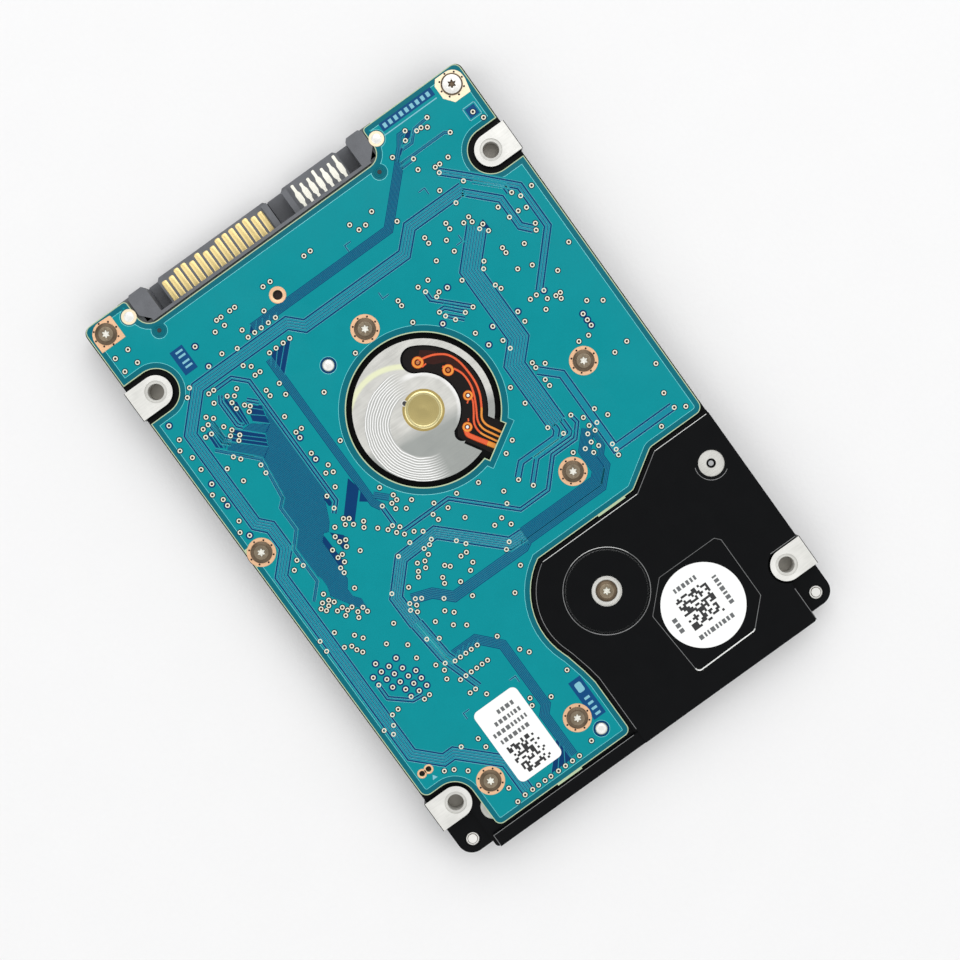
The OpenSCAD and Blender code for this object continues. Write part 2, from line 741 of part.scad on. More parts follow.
// Shock latch, drawn closed around its pin and then turned open
module actuator_latch() color("#d8d4c4") translate(L) rotate(latch_swing) difference() {
    union() {
        rod(1.5, 1.2, 3.9);
        slab(2.4, 3.8) {
            polygon([[-4.6, -7.6], [-2.6, -7.6], [1.0, -0.9], [-1.2, 0.3], [-3.25, -5.2], [-3.25, -6.2],
                [-4.6, -6.2]]);
            polygon([[-1.1, -0.6], [0.9, 0.7], [-1.9, 4.2], [-3.9, 2.4]]);
        }
        translate([-2.9, 3.3, 0]) rod(1.4, 2.2, 3.8);
    }
    rod(0.43, 0, 5);
}

module latch_pin() color("#cfd1d4") translate(L) rod(0.4, 0.9, 6.5);

module recirculation_filter() color("#efeee9") slab(0.9, 4) rrect(28.4, -15.6, 32.6, -9.6, 0.8);

module desiccant_pouch() color("#efece2") slab(0.9, 3.9) rrect(-27.9, -33.5, -21.5, -21.5, 1.2);

base_casting();
top_cover();
cover_gasket();
cover_screws();
pivot_screws();
cover_label();
breather_filter();
circuit_board();
board_screws();
board_label();
locating_pins();
controller_chip();
memory_chip();
motor_driver_chip();
flash_chip();
power_inductors();
chip_capacitors();
shock_sensors();
insulator_sheet();
seal_label();
sata_housing();
sata_power_contacts();
sata_signal_contacts();
connector_posts();
motor_flex_circuit();
bearing_sleeve();
sleeve_end_cap();
stator_core();
stator_coils();
spindle_shaft();
spindle_hub();
rotor_magnet();
platter();
platter_clamp();
clamp_screw();
pivot_shaft();
pivot_inner_rings();
pivot_balls();
pivot_sleeve();
actuator_arm();
voice_coil();
coil_overmold();
head_suspensions();
head_sliders();
preamp_chip();
head_flex_circuit();
flex_bracket();
flex_header();
small_screws();
upper_yoke();
lower_yoke();
upper_magnet();
lower_magnet();
yoke_screws();
load_ramp();
actuator_latch();
latch_pin();
crash_stops();
recirculation_filter();
desiccant_pouch();
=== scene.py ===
"""Looks of a slim 2.5-inch hard disk drive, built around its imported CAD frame.

The drive lies on its cover with the circuit board up: +Y is the connector end and +X is right.
Lengths in this file are millimetres and become metres where a mesh is made.
"""

import math
import random

import bmesh
import bpy
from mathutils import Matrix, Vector


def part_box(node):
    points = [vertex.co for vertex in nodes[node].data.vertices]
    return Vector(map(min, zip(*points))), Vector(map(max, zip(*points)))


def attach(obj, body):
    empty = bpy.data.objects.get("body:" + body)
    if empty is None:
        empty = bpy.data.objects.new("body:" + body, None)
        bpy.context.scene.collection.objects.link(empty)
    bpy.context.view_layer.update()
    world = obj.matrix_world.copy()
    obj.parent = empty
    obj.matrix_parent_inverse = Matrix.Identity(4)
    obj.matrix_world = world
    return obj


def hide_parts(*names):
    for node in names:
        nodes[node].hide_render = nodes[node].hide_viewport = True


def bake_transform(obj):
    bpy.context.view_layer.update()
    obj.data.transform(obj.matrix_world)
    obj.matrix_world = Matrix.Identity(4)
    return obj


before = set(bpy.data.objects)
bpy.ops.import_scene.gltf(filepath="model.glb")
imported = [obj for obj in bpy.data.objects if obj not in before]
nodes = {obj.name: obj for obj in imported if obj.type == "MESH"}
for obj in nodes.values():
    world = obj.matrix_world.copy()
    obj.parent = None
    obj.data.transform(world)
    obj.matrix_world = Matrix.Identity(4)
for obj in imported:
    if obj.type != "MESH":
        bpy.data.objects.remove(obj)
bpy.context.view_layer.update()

MM = 0.001


# ---- where things are, from the CAD nodes ----


def low(node):
    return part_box(node)[0] / MM


def high(node):
    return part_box(node)[1] / MM


def place(node):
    """Middle of a node, seen from above."""
    middle = (low(node) + high(node)) / 2
    return (middle.x, middle.y)


SPINDLE = place("sleeve_end_cap")
PIVOT = place("pivot_shaft")
LATCH = place("latch_pin")
BOARD_LOW = low("circuit_board").z
BOARD_TOP = high("circuit_board").z
PAD_TOP = high("base_casting").z
PAD_SIDE = high("base_casting").x
MOTOR_FACE = 6.2
FIELD = 6.85    # flat ground of the casting beside the board
MOUNTS = [(x, y) for x in (-30.86, 30.86) for y in (36.1, -40.5)]

# Heights of the board's layers
CORE_TOP = BOARD_TOP - 0.05
BAND_TOP = BOARD_TOP - 0.04
POUR_TOP = BOARD_TOP - 0.02
GAP_TOP = BOARD_TOP - 0.015
TRACE_TOP = BOARD_TOP + 0.01


# ---- plane geometry ----


def polar(centre, radius, angle):
    a = math.radians(angle)
    return (centre[0] + radius * math.cos(a), centre[1] + radius * math.sin(a))


def arc(centre, radius, start, end, step=6.0):
    count = max(2, int(abs(end - start) / step) + 1)
    return [polar(centre, radius, start + (end - start) * i / (count - 1)) for i in range(count)]


def circle(centre, radius, count):
    return [polar(centre, radius, 360 * i / count) for i in range(count)]


def shifted(line, distance, closed):
    """The line moved to its left by a distance, with mitred corners."""
    out = []
    last = len(line) - 1
    for i, (x, y) in enumerate(line):
        before = line[i - 1] if i > 0 or closed else None
        after = line[(i + 1) % len(line)] if i < last or closed else None
        normals = []
        for a, b in ((before, (x, y)), ((x, y), after)):
            if a is None or b is None:
                continue
            dx, dy = b[0] - a[0], b[1] - a[1]
            size = math.hypot(dx, dy)
            if size > 1e-6:
                normals.append((-dy / size, dx / size))
        if len(normals) == 1:
            normals.append(normals[0])
        (ax, ay), (bx, by) = normals
        k = distance / max(0.3, 1 + ax * bx + ay * by)
        out.append((x + k * (ax + bx), y + k * (ay + by)))
    return out


def outline(*items):
    """Outline through corners (x, y), rounded corners (x, y, radius) and ready lists of points."""
    ends = [(it[0], it[-1]) if isinstance(it, list) else (it, it) for it in items]
    out = []
    for i, item in enumerate(items):
        if isinstance(item, list):
            out += item
            continue
        if len(item) == 2:
            out.append(item)
            continue
        x, y, radius = item
        before = ends[i - 1][1]
        after = ends[(i + 1) % len(items)][0]
        u = Vector((before[0] - x, before[1] - y)).normalized()
        v = Vector((after[0] - x, after[1] - y)).normalized()
        half = math.acos(max(-1, min(1, u.dot(v)))) / 2
        reach = radius / math.tan(half)
        centre = Vector((x, y)) + (u + v).normalized() * radius / math.sin(half)
        a = math.atan2(*(Vector((x, y)) + u * reach - centre).yx)
        b = math.atan2(*(Vector((x, y)) + v * reach - centre).yx)
        turn = (b - a + math.pi) % (2 * math.pi) - math.pi
        out += [polar(centre, radius, math.degrees(a + turn * k / 6)) for k in range(7)]
    return out


def crossing(a, b, centre, radius):
    """Where the line from a, inside a circle, to b, outside it, leaves the circle."""
    inside, outside = 0.0, 1.0
    for _ in range(30):
        t = (inside + outside) / 2
        p = (a[0] + (b[0] - a[0]) * t, a[1] + (b[1] - a[1]) * t)
        if math.dist(p, centre) < radius:
            inside = t
        else:
            outside = t
    return p


def bitten(loop, centre, radius):
    """Left-handed outline with a round bite out of its edge. The circle may hold no whole side."""
    fine = []
    for i, b in enumerate(loop):
        a = loop[i - 1]
        steps = max(1, int(math.dist(a, b) / 0.3))
        fine += [(a[0] + (b[0] - a[0]) * k / steps, a[1] + (b[1] - a[1]) * k / steps) for k in range(steps)]
    kept = [math.dist(p, centre) >= radius for p in fine]
    first = next(i for i, keep in enumerate(kept) if keep and not kept[i - 1])
    fine = fine[first:] + fine[:first]
    outside = [p for p in fine if math.dist(p, centre) >= radius]
    inside = [p for p in fine if math.dist(p, centre) < radius]
    start = crossing(inside[0], outside[-1], centre, radius)
    end = crossing(inside[-1], outside[0], centre, radius)
    a, b = [math.degrees(math.atan2(p[1] - centre[1], p[0] - centre[0])) for p in (start, end)]
    return outside + arc(centre, radius, a, b if b < a else b - 360)


def box_outline(x0, y0, x1, y1, radius=0.0):
    corners = [(x0, y0), (x1, y0), (x1, y1), (x0, y1)]
    return outline(*[c + (radius,) for c in corners]) if radius else corners


# ---- mesh building ----


class Shape:
    """A mesh under construction, in millimetres, with one material per named finish."""

    def __init__(self):
        self.bm = bmesh.new()
        self.finishes = []

    def index(self, finish):
        if finish not in self.finishes:
            self.finishes.append(finish)
        return self.finishes.index(finish)

    def face(self, points, finish, smooth=False):
        face = self.bm.faces.new([self.bm.verts.new(p) for p in points])
        face.material_index = self.index(finish)
        face.smooth = smooth

    def fill(self, loops, z, finish, down=False):
        """Flat face inside the first outline, with the others as holes."""
        edges = []
        for loop in loops:
            verts = [self.bm.verts.new((x, y, z)) for x, y in loop]
            edges += [self.bm.edges.new((verts[i - 1], verts[i])) for i in range(len(verts))]
        made = bmesh.ops.triangle_fill(self.bm, edges=edges, use_beauty=True)["geom"]
        for face in (g for g in made if isinstance(g, bmesh.types.BMFace)):
            face.normal_update()
            if (face.normal.z < 0) != down:
                face.normal_flip()
            face.material_index = self.index(finish)

    def wall(self, loop0, z0, loop1, z1, finish):
        """Band between two outlines of equally many points. It faces outwards if they run left-handed."""
        for i in range(len(loop0)):
            corners = [(*loop0[i - 1], z0), (*loop0[i], z0), (*loop1[i], z1), (*loop1[i - 1], z1)]
            self.face(corners, finish)

    def plate(self, loops, z0, z1, top, side=None, slope=0.0, floor=False):
        """Flat plate. Its outer outline runs left-handed and its holes right-handed."""
        upper = [shifted(loop, slope, True) for loop in loops] if slope else loops
        self.fill(upper, z1, top)
        for below, above in zip(loops, upper):
            self.wall(below, z0, above, z1, side or top)
        if floor:
            self.fill(loops, z0, side or top, down=True)

    def ridge(self, line, z0, section, finish):
        """Raised line: the section is pairs of sideways place and height, from left to right."""
        rails = [[(*p, z0 + h) for p in shifted(line, -s, False)] for s, h in section]
        for k, (left, right) in enumerate(zip(rails, rails[1:])):
            paint = finish if isinstance(finish, str) else finish[k]
            for i in range(len(line) - 1):
                self.face([left[i], right[i], right[i + 1], left[i + 1]], paint)

    def turned(self, centre, profile, finishes, count, lobes=None, axis_down=False):
        """Surface of revolution about an upright axis, from pairs of radius and height."""
        x, y = centre
        rings = []
        for k, (radius, z) in enumerate(profile):
            wave = lobes[1] if lobes and k in lobes[0] else 0.0
            ring = []
            for i in range(count):
                a = 2 * math.pi * i / count
                r = radius * (1 + wave * math.cos(6 * a))
                ring.append((x + r * math.cos(a), y + r * math.sin(a), z))
            rings.append(ring)
        for k in range(len(rings) - 1):
            finish = finishes[min(k, len(finishes) - 1)]
            for i in range(count):
                quad = [rings[k][i - 1], rings[k + 1][i - 1], rings[k + 1][i], rings[k][i]]
                if profile[k][0] == 0:
                    quad.pop(0)
                elif profile[k + 1][0] == 0:
                    quad.pop(2)
                self.face(quad[::-1] if axis_down else quad, finish, smooth=True)

    def dome(self, centre, profile, finishes, count):
        """Turned surface whose profile runs from the outside in and faces up."""
        self.turned(centre, profile, finishes, count, axis_down=True)

    def block(self, x, y, width, height, z, finish, down=False):
        """Flat rectangle from its lower left corner."""
        self.fill([box_outline(x, y, x + width, y + height)], z, finish, down)

    def done(self, name, body="chassis", replaces=(), slot=None, weld=True):
        bm = self.bm
        if weld:
            bmesh.ops.remove_doubles(bm, verts=bm.verts, dist=1e-4)
        bmesh.ops.scale(bm, vec=(MM, MM, MM), verts=bm.verts)
        mesh = bpy.data.meshes.new(name)
        bm.to_mesh(mesh)
        bm.free()
        for finish in self.finishes:
            mesh.materials.append(material(finish))
        obj = bpy.data.objects.new(name, mesh)
        bpy.context.scene.collection.objects.link(obj)
        if weld:
            mesh.set_sharp_from_angle(angle=math.radians(35))
        if body:
            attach(obj, body)
        if replaces:
            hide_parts(*replaces)
        slot or (replaces[0] if replaces else "circuit_board")
        return obj


def soften(obj, width):
    bevel = obj.modifiers.new("edge", "BEVEL")
    bevel.width = width * MM
    bevel.segments = 2
    bevel.limit_method = "ANGLE"
    bevel.angle_limit = math.radians(30)
    bevel.harden_normals = True


# ---- materials ----


def rgb(colour, factor=1.0):
    """Linear colour from display values out of 255."""
    linear = [(c / 255 / 12.92) if c <= 10 else ((c / 255 + 0.055) / 1.055) ** 2.4 for c in colour]
    return (*[min(1.0, v * factor) for v in linear], 1.0)


class Surface:
    """A procedural material under construction. Its positions are millimetres on the drive."""

    def __init__(self, name, metallic=0.0, gleam=0.5, coat=0.0):
        self.mat = bpy.data.materials.new(name)
        self.mat.use_nodes = True
        self.shader = self.mat.node_tree.nodes["Principled BSDF"].inputs
        self.shader["Metallic"].default_value = metallic
        self.shader["Specular IOR Level"].default_value = gleam
        self.shader["Coat Weight"].default_value = coat
        self.shader["Coat Roughness"].default_value = 0.12
        coord = self.add("TexCoord").outputs["Object"]
        self.where = self.add("VectorMath", {0: coord, "Scale": 1 / MM}, operation="SCALE").outputs[0]

    def join(self, value, socket):
        """A socket gets a number, a colour or another node's output."""
        if isinstance(value, bpy.types.NodeSocket):
            self.mat.node_tree.links.new(value, socket)
        else:
            socket.default_value = value

    def add(self, kind, inputs=(), **settings):
        node = self.mat.node_tree.nodes.new("ShaderNode" + kind)
        for key, value in settings.items():
            setattr(node, key, value)
        for key, value in dict(inputs).items():
            self.join(value, node.inputs[key])
        return node

    def calc(self, operation, *values):
        return self.add("Math", dict(enumerate(values)), operation=operation).outputs[0]

    def times(self, first, *others):
        for other in others:
            first = self.calc("MULTIPLY", first, other)
        return first

    def vector(self, operation, *values, output=0):
        return self.add("VectorMath", dict(enumerate(values)), operation=operation).outputs[output]

    def blend(self, factor, a, b):
        """Colour between a and b."""
        return self.add("Mix", {"Factor": factor, 6: a, 7: b}, data_type="RGBA").outputs[2]

    def between(self, factor, a, b):
        """Number between a and b as the factor goes from 0 to 1."""
        return self.add("MapRange", {"Value": factor, "To Min": a, "To Max": b}).outputs[0]

    def rise(self, value, start, end):
        """0 to 1 as the value goes from start to end."""
        return self.add("MapRange", {"Value": value, "From Min": start, "From Max": end}).outputs[0]

    def noise(self, size, detail=3.0, stretch=None):
        """Noise with features of a size in millimetres."""
        where = self.vector("MULTIPLY", self.where, stretch) if stretch else self.where
        return self.add("TexNoise", {"Vector": where, "Scale": 1 / size, "Detail": detail}).outputs["Fac"]

    def ribs(self, pitch, distortion, direction):
        """Waves at a pitch in millimetres."""
        values = {"Vector": self.where, "Scale": 0.31 / pitch, "Distortion": distortion}
        return self.add("TexWave", values, bands_direction=direction).outputs["Fac"]

    def radius(self, centre):
        flat = self.vector("MULTIPLY", self.where, (1, 1, 0))
        return self.vector("LENGTH", self.vector("SUBTRACT", flat, (*centre, 0)), output="Value")

    def finished(self, colour, rough, height, depth):
        """The material with its colour, roughness and bump, whose depth is in millimetres."""
        bump = self.add("Bump", {"Height": height, "Distance": depth * MM, "Strength": 1.0})
        for value, name in ((colour, "Base Color"), (rough, "Roughness"), (bump.outputs[0], "Normal")):
            self.join(value, self.shader[name])
        return self.mat


def grainy(name, colour, rough, grain, depth, spread, metallic=0.0, gleam=0.5, coat=0.0, stretch=None):
    """Plain finish with its colour, gloss and surface varied by two sizes of grain."""
    s = Surface(name, metallic, gleam, coat)
    fine = s.noise(grain, stretch=stretch)
    broad = s.noise(grain * 14, 2.0)
    factor = s.between(s.calc("MULTIPLY_ADD", fine, 0.5, s.times(broad, 0.5)), 0.0, 1.0)
    base = s.blend(factor, rgb(colour, 1 - 2 * spread), rgb(colour, 1 + 2 * spread))
    return s.finished(base, s.between(broad, rough * 0.8, rough * 1.2), fine, depth)


def turned_metal(name, colour, rough, centre, pitch, depth=0.003, spread=0.08, metallic=1.0):
    """Metal with fine rings from a lathe around an upright axis."""
    s = Surface(name, metallic)
    wobble = s.noise(2.0)
    phase = s.calc("MULTIPLY_ADD", s.radius(centre), 2 * math.pi / pitch, s.times(wobble, 3.0))
    rings = s.between(s.calc("SINE", phase), 0.3, 0.7)
    height = s.calc("ADD", rings, s.times(s.noise(0.08), 0.5))
    factor = s.calc("MULTIPLY_ADD", rings, 0.5, s.times(wobble, 0.5))
    base = s.blend(factor, rgb(colour, 1 - 2 * spread), rgb(colour, 1 + 2 * spread))
    return s.finished(base, s.between(wobble, rough * 0.75, rough * 1.25), height, depth)


def wound_wire(name, colour, pitch):
    """Enamelled wire, in rows that show as fine ribs, with painted shade darkening the colour between the rows."""
    s = Surface(name, 0.85, coat=0.6)
    rows = s.ribs(pitch, 0.6, "DIAGONAL")
    base = s.blend(rows, rgb(colour, 0.35), rgb(colour, 1.15))
    return s.finished(base, s.between(s.noise(0.5), 0.25, 0.4), rows, 0.03)


def felt(name, colour, weave):
    """Woven or felted filter cloth."""
    s = Surface(name)
    cloth = s.times(s.ribs(weave, 1.5, "X"), s.ribs(weave, 1.5, "Y"))
    base = s.blend(cloth, rgb(colour, 0.75), rgb(colour))
    return s.finished(base, s.between(cloth, 0.8, 0.95), s.calc("ADD", cloth, s.noise(0.1)), 0.04)


def casting_material(name):
    """Black-coated casting whose pads, motor face and seats are machined to bare metal."""
    s = Surface(name, gleam=0.09)
    x, y, z = s.add("SeparateXYZ", {0: s.where}).outputs
    white = rgb((255, 255, 255))

    def near(centre, radius, z0, z1):
        inside = s.calc("LESS_THAN", s.radius(centre), radius)
        return s.times(inside, s.times(s.calc("GREATER_THAN", z, z0), s.calc("LESS_THAN", z, z1)))

    def towards(heading, start, end):
        """Rises from 0 to 1 between two distances from the spindle along a heading."""
        way = polar((0, 0), 1, heading)
        offset = Vector(SPINDLE).dot(Vector(way))
        along = s.vector("DOT_PRODUCT", s.where, (*way, 0), output="Value")
        return s.rise(along, start + offset, end + offset)

    def ring_line(centre, radius, solid):
        """1 near a circle, and 0 further than 0.55 from it."""
        return s.rise(s.calc("ABSOLUTE", s.calc("SUBTRACT", s.radius(centre), radius)), 0.55, solid)

    pads = s.calc("GREATER_THAN", z, PAD_TOP - 0.08)
    bare = pads
    seats = [(mount, 1.8, 3.0, PAD_TOP + 1) for mount in MOUNTS]
    seats += [(SPINDLE, 11.2, MOTOR_FACE - 0.05, MOTOR_FACE + 0.3), (PIVOT, 2.28, 6.0, 7.0),
              (LATCH, 2.05, 6.68, 6.78), ((-26.65, -44.55), 2.0, 5.6, 5.81)]
    for seat in seats:
        bare = s.calc("MAXIMUM", bare, near(*seat))
    # Painted shadow: the outermost 0.1 mm of the pads stays black and stands in for the shadow along their outer
    # sides
    pad_shadow_line = s.calc("GREATER_THAN", s.calc("ABSOLUTE", x), PAD_SIDE - 0.1)
    bare = s.times(bare, s.calc("SUBTRACT", 1.0, pad_shadow_line))
    on_face = near(SPINDLE, 11, MOTOR_FACE - 0.1, MOTOR_FACE + 0.1)

    # Arcs left by the face mill, on the left of the motor face only: tool marks in the bump, painted white as
    # highlights in the colour
    swirl = s.radius((-1.35, 8.9))
    ripple = s.noise(3.5)
    phase = s.calc("MULTIPLY_ADD", swirl, 2 * math.pi / 0.38, s.times(ripple, 9.0))
    arcs = s.between(s.calc("SINE", phase), 0.0, 1.0)
    ring = s.times(s.calc("GREATER_THAN", swirl, 4.9), s.calc("LESS_THAN", swirl, 8.75))
    mill_arcs_and_glint = s.times(ring, towards(172, 0.6, 3.4), on_face)

    grain = s.noise(0.22)
    broad = s.noise(3.0, 2.0)
    brushed = s.noise(0.35, stretch=(0.12, 1.6, 1.0))
    tone = s.calc("MULTIPLY_ADD", brushed, 0.35, s.times(broad, 0.65))
    metal = s.blend(tone, rgb((164, 164, 160)), rgb((236, 235, 230)))
    # Painted highlight: a white crescent along the edge of the boss round the cap, on its side towards +X
    crescent_glint = s.times(ring_line(SPINDLE, 5.5, 0.2), towards(20, 1.0, 3.0), on_face, ripple)
    # Painted reflection: a pale yellowish crescent near the top of the motor face
    top_reflection = s.times(ring_line((-3.5, 11.0), 8.15, 0.25), s.rise(y, 15.5, 17.0), on_face)
    for strength, colour in (
        (pads, s.blend(tone, rgb((190, 190, 186)), rgb((252, 251, 247)))),
        # Painted shade: the motor face turns darker on its side towards -Y
        (s.times(towards(262, 1.5, 3.5), 0.8, on_face), rgb((144, 149, 147))),
        (mill_arcs_and_glint, s.blend(arcs, rgb((182, 183, 180)), white)),
        (crescent_glint, white),
        (top_reflection, rgb((228, 231, 196))),
    ):
        metal = s.blend(strength, metal, colour)
    # Painted shade: bare metal turns dark brown deeper down in the holes
    metal = s.blend(s.rise(z, 2.5, 5.9), rgb((98, 88, 74)), metal)
    black = s.blend(broad, rgb((5, 6, 8)), rgb((10, 11, 13)))
    s.join(s.times(bare, 0.5), s.shader["Metallic"])
    gloss = s.blend(bare, s.between(grain, 0.28, 0.4), s.between(brushed, 0.34, 0.5))
    cut = s.calc("ADD", s.times(brushed, 0.4), s.times(mill_arcs_and_glint, arcs, 2.2))
    coated = s.times(s.calc("SUBTRACT", 1.0, bare), s.times(grain, 0.8))
    height = s.calc("ADD", s.times(bare, cut), coated)
    return s.finished(s.blend(bare, black, metal), gloss, height, 0.006)


# Colour, roughness, then the grain's size, depth and contrast, then metal, gleam, clear coat and stretch
GRAINY = {
    "mask": ((0, 137, 146), 0.4, 0.25, 0.002, 0.05, 0, 0.1),
    "mask_trace": ((0, 130, 150), 0.34, 0.25, 0.001, 0.05, 0, 0.2),
    "mask_deep": ((0, 104, 134), 0.34, 0.25, 0.001, 0.06, 0, 0.3),
    # Light teal for the pour's sloping sides: thinner mask over the copper's edge, and a painted highlight
    "thin_mask_and_highlight": ((90, 200, 205), 0.27, 0.25, 0.001, 0.05, 0, 1),
    "mask_bare": ((0, 102, 116), 0.36, 0.2, 0.003, 0.07, 0, 0.12),
    "gap": ((0, 54, 104), 0.4, 0.2, 0.002, 0.08, 0, 0.1),
    "patch": ((2, 70, 122), 0.4, 0.2, 0.002, 0.08, 0, 0.15),
    "print": ((120, 185, 200), 0.5, 0.12, 0.002, 0.08),
    # Lighter teal for the slopes of traces and lips: a painted highlight
    "trace_slope_highlight": ((30, 156, 170), 0.22, 0.25, 0.001, 0.05, 0, 0.8),
    "via_edge": ((0, 46, 66), 0.4, 0.2, 0.002, 0.1, 0, 0.12),
    "laminate": ((178, 196, 158), 0.55, 0.16, 0.01, 0.12, 0, 0.5, 0, (1, 1, 4)),
    "via_ring": ((230, 227, 208), 0.4, 0.1, 0.002, 0.08, 0.1),
    "via_hole": ((40, 22, 16), 0.5, 0.06, 0.004, 0.2, 0, 0.3),
    "pad": ((236, 190, 150), 0.36, 0.18, 0.003, 0.07, 0.55),
    "pad_pale": ((246, 228, 196), 0.36, 0.18, 0.003, 0.05, 0.4),
    "screw": ((134, 121, 102), 0.33, 0.11, 0.012, 0.5, 0.7),
    "screw_dark": ((98, 84, 68), 0.36, 0.12, 0.01, 0.4, 0.8),
    # Pale recess of the screws: a painted glint
    "socket_glint": ((240, 237, 228), 0.3, 0.1, 0.01, 0.1, 0.35),
    "steel": ((186, 188, 190), 0.28, 0.2, 0.002, 0.07, 1),
    "steel_fine": ((205, 207, 209), 0.2, 0.15, 0.001, 0.05, 0.9),
    "nickel": ((190, 190, 186), 0.24, 0.5, 0.002, 0.06, 1),
    "laminations": ((132, 136, 144), 0.4, 0.1, 0.02, 0.15, 1, 0.5, 0, (0.3, 0.3, 9)),
    "tin": ((232, 231, 227), 0.36, 0.3, 0.004, 0.05, 0.45),
    "gold": ((240, 216, 150), 0.32, 0.12, 0.002, 0.06, 0.5, 0.5, 0, (1, 0.2, 1)),
    "gold_pale": ((254, 250, 236), 0.3, 0.12, 0.002, 0.04, 0.35, 0.5, 0, (1, 0.2, 1)),
    "cover_metal": ((178, 180, 183), 0.36, 0.12, 0.002, 0.07, 1, 0.5, 0, (0.08, 1, 1)),
    "arm_metal": ((168, 172, 180), 0.34, 0.2, 0.003, 0.08, 1, 0.5, 0, (0.2, 1, 1)),
    "magnet_ring": ((96, 98, 106), 0.5, 0.1, 0.006, 0.15, 0.6),
    "connector": ((96, 98, 103), 0.48, 0.14, 0.01, 0.2),
    "connector_dark": ((38, 40, 43), 0.6, 0.14, 0.006, 0.12),
    "moulding": ((46, 46, 49), 0.5, 0.12, 0.008, 0.12),
    "bracket": ((78, 80, 84), 0.5, 0.12, 0.008, 0.1),
    "chip": ((32, 33, 35), 0.55, 0.09, 0.006, 0.15),
    "ferrite": ((74, 74, 78), 0.6, 0.08, 0.01, 0.15),
    "ceramic": ((186, 156, 110), 0.4, 0.1, 0.003, 0.12),
    "slider": ((58, 59, 64), 0.18, 0.06, 0.001, 0.1, 0.3),
    "rubber": ((38, 38, 42), 0.75, 0.08, 0.01, 0.15),
    "ramp": ((230, 226, 208), 0.32, 0.25, 0.003, 0.05, 0, 0.5, 0.2),
    "latch": ((216, 212, 194), 0.42, 0.2, 0.005, 0.06),
    "polyimide": ((214, 182, 92), 0.28, 0.6, 0.004, 0.1, 0, 0.5, 0.4),
    "flex_film": ((184, 108, 44), 0.3, 0.4, 0.004, 0.12, 0, 0.5, 0.4),
    "flex_black": ((14, 7, 6), 0.35, 0.5, 0.01, 0.25, 0, 0.2),
    "flex_brown": ((50, 16, 9), 0.35, 0.4, 0.01, 0.3, 0, 0.2),
    # Lines on the casting's edges: a painted sheen, and a painted highlight where they face the light
    "coat_rim_sheen": ((104, 105, 106), 0.22, 0.8, 0.004, 0.3, 0, 1),
    "coat_rim_glare": ((205, 206, 204), 0.25, 0.8, 0.004, 0.15, 0.4),
    "flex_track": ((236, 92, 44), 0.28, 0.3, 0.004, 0.12, 0.25, 0.5, 0.5),
    "flex_bright": ((246, 150, 52), 0.26, 0.3, 0.004, 0.12, 0.25, 0.5, 0.5),
    "paper": ((243, 244, 243), 0.62, 0.12, 0.003, 0.02),
    "ink": ((34, 34, 36), 0.6, 0.1, 0.002, 0.15),
    "ink_grey": ((96, 98, 100), 0.6, 0.1, 0.002, 0.12),
    "band_ink": ((44, 96, 124), 0.5, 0.1, 0.002, 0.08),
    "floor": ((235, 235, 236), 0.8, 0.7, 0.03, 0.012),
}
# Colour, roughness, axis, pitch of the rings, their depth and contrast, metal
TURNED = {
    "brass_cap": ((174, 159, 105), 0.4, SPINDLE, 0.3, 0.003, 0.08, 0.7),
    "brass_rim": ((226, 214, 160), 0.22, SPINDLE, 0.3),
    "bronze": ((188, 166, 104), 0.34, SPINDLE, 0.2),
    "hub_metal": ((198, 200, 204), 0.26, SPINDLE, 0.22),
    "clamp_metal": ((172, 175, 182), 0.3, SPINDLE, 0.3),
    "disk_metal": ((222, 224, 228), 0.05, SPINDLE, 0.5, 0.0002, 0.02),
    "shaft_metal": ((208, 210, 213), 0.14, SPINDLE, 0.15, 0.001),
    "pivot_metal": ((190, 193, 198), 0.22, PIVOT, 0.2),
}
# Colour, pitch
WOUND = {
    "coil_wire": ((190, 100, 44), 0.1),
    "stator_wire": ((198, 104, 48), 0.14),
}
FELTED = {
    "filter": ((238, 237, 232), 0.25),
    "pouch": ((230, 224, 206), 0.4),
}
MAKERS = ((grainy, GRAINY), (turned_metal, TURNED), (wound_wire, WOUND), (felt, FELTED),
          (casting_material, {"casting": ()}))
made_materials = {}


def material(finish):
    if finish not in made_materials:
        make, values = next((make, table[finish]) for make, table in MAKERS if finish in table)
        made_materials[finish] = make(finish, *values)
    return made_materials[finish]


# ---- camera, floor and light ----


